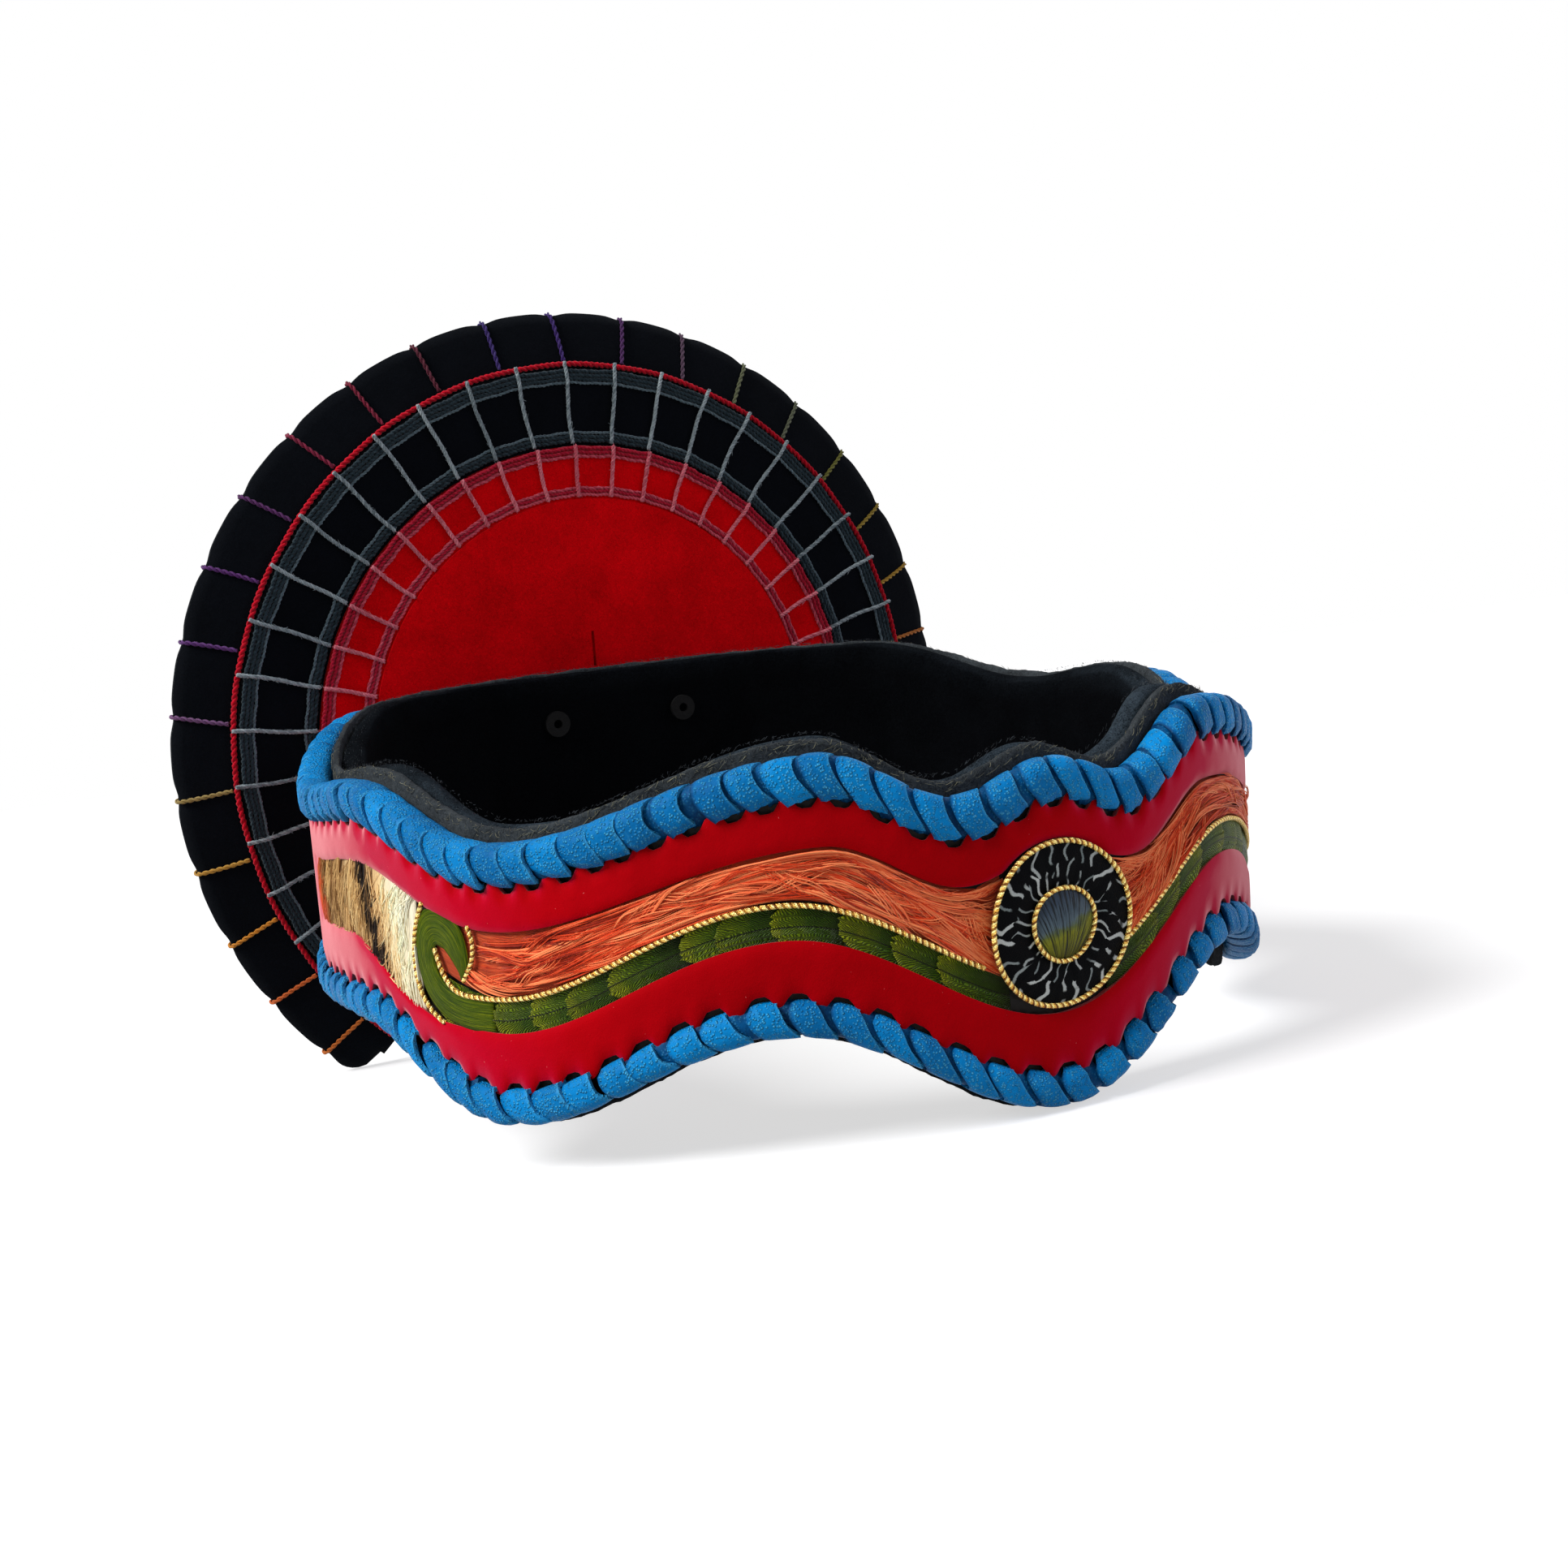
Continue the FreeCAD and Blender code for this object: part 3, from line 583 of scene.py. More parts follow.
def blackPlume():
    # black barbs round the ring, with broken pale squiggles from the centre outwards
    desk = Desk("speckled_plume", rgb(4, 5, 7), 0.42, Specular_IOR_Level=0.03)
    lay = desk.layParts()
    around, out = lay[0], lay[1]
    # two uneven rows of them
    uneven = desk.grain(desk.joinXYZ(desk.times(around, 30)), 1.0, 0)
    row = desk.sum("GREATER_THAN", desk.plus(out, desk.swing(uneven, 0.9)), 0.52)
    turn = desk.plus(desk.times(around, 24), desk.times(out, 0.6))
    turn = desk.timesPlus(row, 0.43, turn)
    cell = desk.timesPlus(row, 40, desk.sum("FLOOR", turn))
    pick = desk.add("TexWhiteNoise", noise_dimensions="1D", W=cell).outputs["Value"]
    other = desk.add("TexWhiteNoise", noise_dimensions="1D", W=desk.plus(cell, 71.3)).outputs["Value"]

    def wander(rate, shift, source):
        spot = desk.joinXYZ(desk.times(out, rate), desk.times(source, 60), shift)
        return desk.grain(spot, 1.0, 0, 0.5)
    bend = desk.swing(wander(2.9, 0.0, pick), 1.45)
    off = desk.sum("ABSOLUTE", desk.minus(desk.sum("FRACT", turn), desk.plus(bend, 0.5)))
    frayed = desk.grain(desk.laid(300, 26), 1.0, 2)
    off = desk.plus(off, desk.swing(frayed, 0.12))
    width = desk.timesPlus(other, 0.06, 0.045)
    mark = desk.spread(off, width, desk.plus(width, 0.05), 1.0, 0.0)
    mark = desk.times(mark, desk.spread(wander(3.0, 9.0, other), 0.36, 0.42))
    base = desk.blend(desk.times(frayed, 0.6), rgb(0, 0, 1), rgb(6, 8, 11))
    pale = desk.blend(other, rgb(120, 132, 132), rgb(206, 212, 208))
    desk.colour(desk.blend(desk.times(mark, 0.95), base, pale))
    desk.rough(frayed, 0.32, 0.6)
    desk.bump((frayed, 0.0002), (mark, 0.00015))
    return desk.material


def eyeFeather():
    # slate above, olive below, with fine barbs that fan up from the bottom
    desk = Desk("eye_feather", rgb(90, 110, 125), 0.45, Sheen_Weight=0.05, Sheen_Roughness=0.4,
                Specular_IOR_Level=0.12)
    lay = desk.layParts()
    side = desk.minus(lay[0], 0.47)
    rise = lay[1]
    fan = desk.sum("DIVIDE", side, desk.plus(rise, 0.3))
    hair = desk.grain(desk.joinXYZ(desk.times(fan, 30), desk.times(rise, 1.6)), 1.0, 4, 0.6)
    cloud = desk.grain(desk.place(), 420, 3)
    height = desk.plus(rise, desk.swing(cloud, 0.3))
    height = desk.plus(height, desk.swing(hair, 0.35))
    height = desk.minus(height, desk.times(side, 0.25))
    base = desk.steps(height, [(0.1, rgb(98, 98, 20)), (0.36, rgb(136, 138, 30)), (0.46, rgb(96, 108, 56)),
                               (0.55, rgb(88, 106, 116)), (0.85, rgb(50, 64, 80))])
    base = desk.blend(desk.spread(hair, 0.4, 0.54), rgb(6, 9, 11), base)
    shaft = desk.times(desk.sum("LESS_THAN", desk.sum("ABSOLUTE", side), 0.014),
                     desk.sum("LESS_THAN", rise, 0.42))
    desk.colour(desk.blend(desk.times(shaft, 0.8), base, rgb(8, 10, 8)))
    desk.bump((hair, 0.0003))
    return desk.material


def threadYarn(name, dark, light, sheen):
    desk = Desk(name, light, 0.85, Sheen_Weight=sheen, Sheen_Roughness=0.5, Specular_IOR_Level=0.08)
    here = desk.place()
    fuzz = desk.grain(here, 1800, 5, 0.7, 0.8)
    both = desk.timesPlus(fuzz, 0.75, desk.times(desk.value("shade"), 0.3), clamp=True)
    desk.colour(desk.steps(both, [(0.3, dark), (0.72, light)]))
    desk.bump((fuzz, 0.00014))
    return desk.material


def paintedThread():
    desk = Desk("coloured_thread", rgb(200, 160, 60), 0.6, Sheen_Weight=0.1, Sheen_Roughness=0.4,
                Specular_IOR_Level=0.2)
    here = desk.place()
    fuzz = desk.grain(here, 2000, 4, 0.7)
    tone = desk.tone()
    desk.colour(desk.blend(desk.timesPlus(fuzz, 0.6, 0.12), tone, rgb(16, 10, 20)))
    desk.bump((fuzz, 0.0001))
    return desk.material


def darkLeather():
    desk = Desk("dark_leather", rgb(20, 17, 17), 0.5, Specular_IOR_Level=0.15)
    here = desk.place()
    cells = desk.cells(here, 900)
    cloud = desk.grain(here, 60, 4)
    desk.colour(desk.blend(cloud, rgb(9, 8, 9), rgb(32, 27, 25)))
    desk.rough(cloud, 0.42, 0.68)
    desk.bump((cells, 0.00012), (cloud, 0.0006))
    return desk.material


def agedMetal():
    desk = Desk("rivet_metal", rgb(40, 38, 36), 0.5, Specular_IOR_Level=0.08)
    here = desk.place()
    cloud = desk.grain(here, 500, 5)
    scratch = desk.grain(desk.place(scale=(1, 1, 14)), 700, 4)
    desk.colour(desk.blend(cloud, rgb(5, 5, 6), rgb(22, 22, 22)))
    desk.rough(scratch, 0.35, 0.65)
    desk.bump((scratch, 0.00004))
    return desk.material


print("finishes")
blueLace = laceLeather()
redFace = redLeather("red_leather", cut=False)
redCut = redLeather("red_leather_cut", cut=True)
padFelt = padCloth()
blackFelt = feltCloth("black_felt", rgb(2, 3, 4), rgb(30, 33, 38), 0.03, 2300, 0.0003)
woolFelt = feltCloth("wool_felt", rgb(8, 10, 12), rgb(74, 80, 84), 0.06, 1500, 0.0004)
lintHair = barbs("lint_hair", rgb(18, 20, 22), rgb(56, 60, 62), rgb(142, 138, 112), 0.02)
darkHair = barbs("felt_hair", rgb(8, 9, 11), rgb(28, 32, 36), rgb(64, 70, 76), 0.02)
orangeHair = barbs("orange_barbs", rgb(118, 8, 0), rgb(222, 68, 22), rgb(252, 148, 92), 0.12)
orangeBase = orangeBed()
greenFeather = greenVane()
greenCurl = curlVane()
bandedFeather = bandedVane()
bandedBarbs = bandedHair()
gold = goldThread()
plume = blackPlume()
eyePlume = eyeFeather()
plateBlack = feltCloth("plate_black_felt", rgb(1, 2, 5), rgb(8, 11, 17), 0.03)
plateRed = feltCloth("plate_red_felt", rgb(166, 0, 4), rgb(244, 0, 14), 0.03, 1900, 0.0001, (1, 0.3, 0.3, 1))
slateYarn = threadYarn("slate_yarn", rgb(16, 26, 32), rgb(46, 62, 70), 0.1)
greyYarn = threadYarn("grey_yarn", rgb(44, 60, 68), rgb(104, 122, 130), 0.15)
paleYarn = threadYarn("pale_yarn", rgb(84, 98, 104), rgb(160, 172, 176), 0.2)
roseYarn = threadYarn("rose_yarn", rgb(150, 6, 32), rgb(192, 28, 58), 0.1)
pinkYarn = threadYarn("pink_yarn", rgb(170, 34, 58), rgb(216, 92, 110), 0.15)
rosyYarn = threadYarn("rosy_yarn", rgb(180, 62, 80), rgb(226, 130, 142), 0.2)
redYarn = threadYarn("red_cord", rgb(130, 0, 20), rgb(206, 2, 34), 0.1)
threadTone = paintedThread()
darkHide = darkLeather()
rivetMetal = agedMetal()

print("face")
face = {
    "inner": 0.25, "outer": 1.85, "wraps": 100, "lowWraps": 90, "perWrap": 8,
    "tuck": 0.65, "notch": 2.4, "pressed": 0.45, "thinned": 0.55, "edgeRound": 0.22,
    "stripRows": 6, "topHoleShift": 1.6, "lowHoleShift": -1.5,
}
faceRows = 2 * face["stripRows"] + 1


def wrapTurns(count, seed):
    # the wraps' places, a little uneven
    pick = random.Random(seed)
    step = 360 / count
    return [-180 + step * (i + 0.5 + pick.uniform(-0.11, 0.11)) for i in range(count)]


topTurns = wrapTurns(face["wraps"], 3)
lowTurns = wrapTurns(face["lowWraps"], 5)


def notchDepth(turn, places, step, shift):
    # 1 at the middle of each lace hole, 0 between holes
    nearest = np.min(np.abs(turn[:, None] - (np.array(places)[None, :] + shift)), axis=1)
    return np.clip(1.25 * np.cos(np.pi * np.clip(nearest / (step * 0.44), 0, 1) / 2) ** 1.2, 0, 1)


def clearOfSeat(turn, height, above):
    # the strip's edge keeps clear of the medallion's round seat
    x = onBandMm(turn, 1.0, 0.0)[..., 0]
    seat = np.sqrt(np.maximum(band["seatRadius"] ** 2 - x ** 2, 0))
    inside = (np.abs(x) < band["seatRadius"]) & (np.abs(turn) < 30)
    return np.where(inside, np.maximum(height, seat) if above else np.minimum(height, -seat), height)


def faceShape(along, across):
    turn = along * 360 - 180
    lowHoles = notchDepth(turn, lowTurns, 360 / face["lowWraps"], face["lowHoleShift"])
    topHoles = notchDepth(turn, topTurns, 360 / face["wraps"], face["topHoleShift"])
    lowest = lowEdge(turn) + band["laceDropLow"] - face["tuck"] + face["notch"] * lowHoles
    highest = topEdge(turn) - band["laceDropTop"] + face["tuck"] - face["notch"] * topHoles
    sill = clearOfSeat(turn, windowLow(turn), False)
    lintel = clearOfSeat(turn, windowTop(turn), True)
    # the lower strip, the window and the upper strip, in whole rows
    strip = face["stripRows"]
    level = np.round(across * faceRows)
    height = np.where(level <= strip, lowest + (sill - lowest) * level / strip,
                      lintel + (highest - lintel) * (level - strip - 1) / strip)
    near = np.clip(1 - np.minimum(level, faceRows - level) / 1.6, 0, 1)
    points = onBandMm(turn, 0.0, height)
    cut = np.clip(1 - np.abs(level - faceRows / 2) / 1.6, 0, 1) * (np.abs(turn) < band["windowTurn"] + 2)
    out = face["outer"] - face["pressed"] * near - face["thinned"] * cut + 0.12 * rumple(points, 0.07, 4.0)
    return onBand(turn, out, height)


bm = sheetGrid(face["wraps"] * face["perWrap"], faceRows, faceShape, close=True)
lay = bm.loops.layers.uv.verify()
openFaces = []
for patch in bm.faces:
    middle = sum((loop[lay].uv for loop in patch.loops), Vector((0, 0))) / len(patch.loops)
    inWindow = face["stripRows"] < middle.y * faceRows < face["stripRows"] + 1
    if inWindow and abs(middle.x * 360 - 180) < band["windowTurn"]:
        openFaces.append(patch)
bmesh.ops.delete(bm, geom=openFaces, context="FACES")
bmesh.ops.recalc_face_normals(bm, faces=bm.faces)
leather = addPiece("red_leather_face", bm, [redFace, redCut], "red_leather", "face_leather")
giveWall(leather, face["outer"] - face["inner"]).material_offset_rim = 1
softenEdges(leather, face["edgeRound"], 50)

print("lacing")
lacing = {
    "rows": 16, "columns": 6, "wall": 0.95, "leg": 6.0,
    "faceWidth": 0.76, "thumbWidth": 0.8, "ropeWidth": 1.2, "frontTurn": 48, "underWidth": 0.62,
    "underDrop": 1.35, "crown": 0.28, "ropeCrown": 0.6, "lift": 0.62, "dent": 0.18, "crease": 0.35,
    "furthest": 3.15, "shallowest": 0.3, "edgeRound": 0.22,
}


def wrapRoute(drop):
    # (offset, depth from the edge) of a wrap's middle layer, from its hole over the edge to the inside
    return np.array([
        (0.5, drop + 0.15), (1.7, drop + 0.15), (2.6, drop - 0.5), (2.9, drop - 1.9), (2.95, drop * 0.5),
        (2.8, 1.9), (2.15, 0.85), (1.0, 0.5), (-0.3, 0.45), (-1.7, 0.6), (-2.8, 1.1), (-3.3, 2.2),
        (-3.35, lacing["leg"])])


def wrapList(turns, seed, lean, thumbs):
    pick = random.Random(seed)
    step = 360 / len(turns)
    made = []
    for turn in turns:
        front = abs(turn) < lacing["frontTurn"] + pick.uniform(-6, 6)
        for under in ((0, 1) if front or pick.random() < 0.25 else (0,)):
            if under:
                kind = "underWidth"
            elif front:
                kind = "thumbWidth" if thumbs else "faceWidth"
            else:
                kind = "ropeWidth"
            made.append({
                "turn": turn + under * step * 0.5,
                "under": under,
                "front": front,
                "thumb": thumbs and not under,
                "width": step * (lacing[kind] + pick.uniform(-0.06, 0.06)),
                "lean": lean + step * pick.uniform(-0.09, 0.09),
                "lift": lacing["lift"] * pick.uniform(0.75, 1.25) * (0.12 if front else 1),
                "crown": pick.uniform(0.75, 1.2) * (lacing["crown"] if front else lacing["ropeCrown"]),
                "extra": pick.uniform(-0.25, 0.3),
                "skew": pick.uniform(-0.35, 0.35),
                "lobes": pick.uniform(0, 6.28),
                # each wrap's own tone, with painted shade on the under-wraps
                "shade": pick.uniform(0.4, 0.95) * (0.22 if under else 1),
                "seed": pick.uniform(0, 60),
                "rise": pick.uniform(-0.1, 0.22),
                "bend": pick.uniform(0.6, 1.3),
            })
    return made


def laceMesh(name, turns, edge, away, drop, seed, lean):
    step = 360 / len(turns)
    thumbs = away < 0
    route = resampled(wrapRoute(drop), 0.1)
    columns, rows = lacing["columns"], lacing["rows"]
    template = sheetGrid(rows, columns, lambda along, across: np.stack([along, across, 0 * along], 1))
    pattern = bpy.data.meshes.new("pattern")
    template.to_mesh(pattern)
    flat = np.array([v.co[:] for v in template.verts])
    template.free()
    bm = bmesh.new()
    placed, shades, edges = [], [], []
    side = flat[:, 1] - 0.5
    at = (flat[:, 0] ** 0.9) * (len(route) - 1)
    base = np.stack([np.interp(at, np.arange(len(route)), route[:, i]) for i in (0, 1)], 1)
    outside = np.clip((base[:, 0] + 1.5) / 3.5, 0, 1)
    for wrap in wrapList(turns, seed, lean, thumbs):
        bm.from_mesh(pattern)
        out, depth = base[:, 0].copy(), base[:, 1].copy()
        down = np.clip(depth / drop, 0, 1.15)
        end = np.clip((down - 0.72) / 0.4, 0, 1)
        if not wrap["front"]:
            narrow, tail = 1 - 0.42 * end ** 1.5, (side * 1.1) * end
        elif wrap["thumb"]:
            narrow, tail = 1 - 0.62 * end ** 2.2, 0
        else:
            # the corner by the hole hangs lower than the rest, with small lobes along it
            narrow = 1 - 0.16 * end
            tail = (-side * 1.5 + 0.22 * np.sin(side * 13 + wrap["lobes"])) * end
        depth = depth + (wrap["extra"] * end + tail + wrap["skew"] * side) * outside
        turn = wrap["turn"] + side * wrap["width"] * narrow + wrap["lean"] * (down - 0.45) * outside \
            - wrap["bend"] * 0.16 * step * np.sin(np.pi * np.clip(down, 0, 1)) * outside
        grain = np.column_stack([side * 2.6 + wrap["seed"], depth * 0.36, outside])
        crumple = rumple(grain, 1.0)
        fine = rumple(grain, 3.1)
        ridge = np.exp(-((side + 0.3 - 0.12 * np.sin(depth + wrap["lobes"])) / 0.09) ** 2)
        crown = wrap["crown"] * (1 - np.abs(2 * side) ** 2.4) - wrap["crown"] * 0.75
        out = out + (wrap["lift"] * side * 2 - lacing["underDrop"] * wrap["under"] + crown
                     + lacing["dent"] * crumple + 0.06 * fine
                     + lacing["crease"] * 0.45 * ridge * wrap["front"] * (1 - wrap["under"])) * outside
        level = edge(turn)
        depth = depth - (wrap["rise"] + 0.8 * crown) * (1 - np.clip(depth / 2.2, 0, 1)) \
            + 0.55 * wrap["under"] * (1 - np.clip(depth / 2.4, 0, 1))
        depth = np.maximum(depth, lacing["shallowest"])
        placed.append(onBand(turn, np.minimum(out, lacing["furthest"]), level - away * depth))
        # painted shade for the leather's colour: darker along the edge tucked under the neighbouring wrap and
        # towards the ends of the under-wraps, a little lighter where the leather bulges out, on top of each
        # wrap's own tone
        tuckedShade = np.exp(-((side + 0.5) / (0.07 if wrap["front"] else 0.16)) ** 2) * (1 - wrap["under"])
        shade = wrap["shade"] + 0.14 * crumple - 0.5 * tuckedShade - 0.2 * wrap["under"] * end
        shades.append(np.clip(shade, 0, 1))
        # the raised edge and the crease ridge, which the leather's colour paints paler as wear and painted
        # highlight
        edges.append(np.clip(side * 2, 0, 1) ** 4 + 0.8 * ridge * wrap["front"])
    for vertex, point in zip(bm.verts, np.concatenate(placed)):
        vertex.co = point
    bmesh.ops.recalc_face_normals(bm, faces=bm.faces)
    bpy.data.meshes.remove(pattern)
    mesh = bpy.data.meshes.new(name)
    bm.to_mesh(mesh)
    bm.free()
    paintPoints(mesh, "shade", np.concatenate(shades))
    paintPoints(mesh, "edge", np.clip(np.concatenate(edges), 0, 1))
    return mesh


for name, turns, edge, away, drop, seed, lean, node in (
        ("upper_lace_wraps", topTurns, topEdge, 1, band["laceDropTop"], 7, 1.9, "upper_lacing"),
        ("lower_lace_wraps", lowTurns, lowEdge, -1, band["laceDropLow"], 9, -2.4, "lower_lacing")):
    laces = addPiece(name, laceMesh(name, turns, edge, away, drop, seed, lean), [blueLace], "blue_lace", node)
    giveWall(laces, lacing["wall"], offset=0)
    softenEdges(laces, lacing["edgeRound"], 55)

print("lining")
lining = {
    "outer": 6.35, "crown": 2.6, "hem": 0.5, "slack": 0.6, "pressure": 4.0, "cap": 0.8,
    "columns": 220, "rows": 60, "notch": 8.1, "snug": 3.5,
}


def liningShape(along, across):
    # section: over the rolled crown, down the inside, round the hem and up behind the felts
    turn = along * 360 - 180
    inside = -eased(turn, band["liningKnots"]) + lining["slack"]
    outside = np.full_like(inside, -lining["outer"])
    middle, radius = (inside + outside) / 2, (outside - inside) / 2
    crown = topEdge(turn) + lining["crown"] - lining["slack"] - radius
    floor = lowEdge(turn) + lining["hem"] + radius
    part = across * 4
    crownTurn = np.radians(180 * np.clip(part, 0, 1))
    hemTurn = np.radians(180 + 180 * np.clip(part - 2, 0, 1))
    rise = np.clip(part - 3, 0, 1)
    height = np.select([part <= 1, part <= 2, part <= 3],
                       [crown + radius * np.sin(crownTurn), crown + (floor - crown) * (part - 1),
                        floor + radius * np.sin(hemTurn)], floor + (crown - floor) * rise)
    # it fills the space behind the leather between the two felts
    near = np.minimum(topEdge(turn) - lining["notch"] - height, height - lowEdge(turn) - lining["notch"])
    snug = outside + (lining["outer"] - lining["snug"]) * np.clip(near / 1.5, 0, 1)
    out = np.select([part <= 1, part <= 2, part <= 3],
                    [middle + radius * np.cos(crownTurn), inside, middle + radius * np.cos(hemTurn)], snug)
    return onBand(turn, out, height)


bm = sheetGrid(lining["columns"], lining["rows"], liningShape, close=True)
bmesh.ops.recalc_face_normals(bm, faces=bm.faces)
pad = addPiece("padded_lining", bm, [padFelt], "black_felt", "lining_pad")


def puffed(piece, pressure, cap):
    # the cloth swells a little, and no point goes further than the cap
    mesh = piece.data
    start = np.array([v.co[:] for v in mesh.vertices])
    cloth = piece.modifiers.new("cloth", "CLOTH")
    cloth.settings.use_pressure = True
    cloth.settings.uniform_pressure_force = pressure
    cloth.settings.effector_weights.gravity = 0
    cloth.settings.quality = 5
    for step in range(1, 21):
        bpy.context.scene.frame_set(step)
    swollen = bpy.data.meshes.new_from_object(piece.evaluated_get(bpy.context.evaluated_depsgraph_get()))
    piece.modifiers.clear()
    bpy.context.scene.frame_set(1)
    moved = np.array([v.co[:] for v in swollen.vertices]) - start
    reach = np.linalg.norm(moved, axis=1, keepdims=True)
    moved *= np.minimum(1, cap * mm / np.maximum(reach, 1e-9))
    mesh.vertices.foreach_set("co", (start + moved).astype(np.float32).ravel())
    mesh.update()
    bpy.data.meshes.remove(swollen)
    print("  swell", round(float(reach.mean() / mm), 2), "mm")


puffed(pad, lining["pressure"], lining["cap"])
rounder = pad.modifiers.new("rounder", "SUBSURF")
rounder.levels = rounder.render_levels = 1

felt = {
    "inner": -6.1, "outer": -4.1, "rise": 1.9, "tuck": 7.6, "hemDrop": 1.3,
    "columns": 620, "upperRows": 26, "hemRows": 18,
}


def feltShape(edge, away, rise):
    def shape(along, across):
        turn = along * 360 - 180
        angle = across * 2 * np.pi
        middle, half = (felt["inner"] + felt["outer"]) / 2, (felt["outer"] - felt["inner"]) / 2
        length = (rise + felt["tuck"]) / 2
        # a flat loop with rounded ends, thickened a little by its own unevenness
        out = middle + half * np.sign(np.cos(angle)) * np.abs(np.cos(angle)) ** 0.5
        level = (rise - felt["tuck"]) / 2 + length * np.sign(np.sin(angle)) * np.abs(np.sin(angle)) ** 0.5
        points = onBandMm(turn, out, edge(turn) + away * level)
        free = np.clip(level + 2, 0, 1)
        out = out + (0.3 * rumple(points, 0.3, 2.0) + 0.14 * rumple(points, 1.1, 5.0)) * free
        level = level + (0.4 * rumple(points, 0.22, 8.0) + 0.2 * rumple(points, 0.9, 3.0)) * free
        return onBand(turn, out, edge(turn) + away * level)
    return shape


bm = sheetGrid(felt["columns"], felt["upperRows"], feltShape(topEdge, 1, felt["rise"]), close=True)
addPiece("upper_wool_felt", bm, [woolFelt], "wool_felt", "upper_edge_felt")
bm = sheetGrid(felt["columns"], felt["hemRows"], feltShape(lowEdge, -1, felt["hemDrop"]), close=True)
addPiece("lower_felt_hem", bm, [blackFelt], "black_felt", "lower_hem_felt")

# loose fibres on the felts: how many, and how far they run, lift and how thick they are, in millimetres
fuzz = {
    "roll": (3000, (0.4, 1.2), 0.1, 0.03),
    "wool": (2400, (0.6, 2.4), 0.3, 0.036),
    "hem": (800, (0.8, 2.4), 0.25, 0.04),
}


def fibres(kind, outOf, heightOf):
    count, length, lift, thin = fuzz[kind]
    start = dice.uniform(-180, 180, count)
    phase = dice.uniform(0, 2 * np.pi, count)
    run = dice.uniform(*length, count)
    steps = np.linspace(-0.5, 0.5, 6)
    u = dice.uniform(0, 1, count)
    paths = []
    for i in range(count):
        turn = start[i] + np.degrees(steps * run[i] * np.cos(phase[i]) / band["meanReach"])
        curl = np.sin(steps * 3 + phase[i]) * run[i] * 0.12
        height = heightOf(turn, u[i]) + steps * run[i] * np.sin(phase[i]) * 0.5 + curl
        arch = lift * dice.uniform(0.2, 1) * (1 - (2 * steps) ** 2 * dice.uniform(0.2, 1.4))
        out = outOf(turn, u[i]) + arch
        paths.append(onBand(turn, out, height))
    taper = np.array([0.5, 1, 1, 1, 0.8, 0.3]) * thin * mm
    return strands(paths, taper, dice.uniform(0, 1, count))


def rollRadius(turn):
    return (lining["outer"] - eased(turn, band["liningKnots"])) / -2


def rollOut(turn, u):
    middle = (-eased(turn, band["liningKnots"]) - lining["outer"]) / 2
    return middle + rollRadius(turn) * np.cos(np.pi * u * 0.75)


def rollHeight(turn, u):
    radius = rollRadius(turn)
    return topEdge(turn) + lining["crown"] - radius + radius * np.sin(np.pi * u * 0.75)


def woolOut(turn, u):
    return felt["outer"] - 0.1 - 1.5 * np.maximum(u - 0.6, 0) / 0.4 + 0 * turn


def woolHeight(turn, u):
    return topEdge(turn) + 0.2 + 1.5 * np.minimum(u / 0.6, 1)


def hemOut(turn, u):
    return felt["outer"] - 0.2 - 1.2 * u + 0 * turn


def hemHeight(turn, u):
    return lowEdge(turn) - 0.6 - 0.35 * u


addPiece("lining_fuzz", fibres("roll", rollOut, rollHeight), [darkHair], "black_felt")
addPiece("wool_fuzz", fibres("wool", woolOut, woolHeight), [lintHair], "wool_felt")
addPiece("hem_fuzz", fibres("hem", hemOut, hemHeight), [darkHair], "black_felt")

print("feathers")
orange = {
    "start": 6.2, "end": 64.6, "bedEnd": 69.4, "points": 13, "thick": 0.12, "furthest": 2.3,
    # locks, barbs in each, and how far they run, drift and lift: flat ones first, then loose ones across them
    "layers": [(78, 12, (12, 25), 0.16, 0.0), (50, 11, (7, 16), 0.42, 0.35), (24, 6, (4, 9), 0.7, 0.6)],
}


def overBorder(turn):
    return borderLine(turn) + 0.4


def underTop(turn):
    return windowTop(turn) - 0.1


def nearMedallion(turn, out):
    # the feathers lie flat where they pass under the medallion
    return np.minimum(out, np.interp(np.abs(turn), [6, 9.2, 12], [0.75, 1.5, 2.6]))


def orangeShape(side):
    def shape(along, across):
        turn = orange["start"] + (orange["bedEnd"] - orange["start"]) * along
        low, high = overBorder(turn), underTop(turn)
        height = low + (high - low) * across
        points = onBandMm(turn, 0.0, height) * (0.09, 0.09, 0.6)
        swell = 0.5 * np.sin(np.pi * np.clip(across, 0, 1)) ** 0.5
        out = nearMedallion(turn, 0.35 + swell + 0.22 * rumple(points, 1.0, 3.0 + side))
        out = out - np.interp(turn, [6, 9, 14], [0.45, 0.6, 0.0])
        return onBand(side * turn, out, height)
    return shape


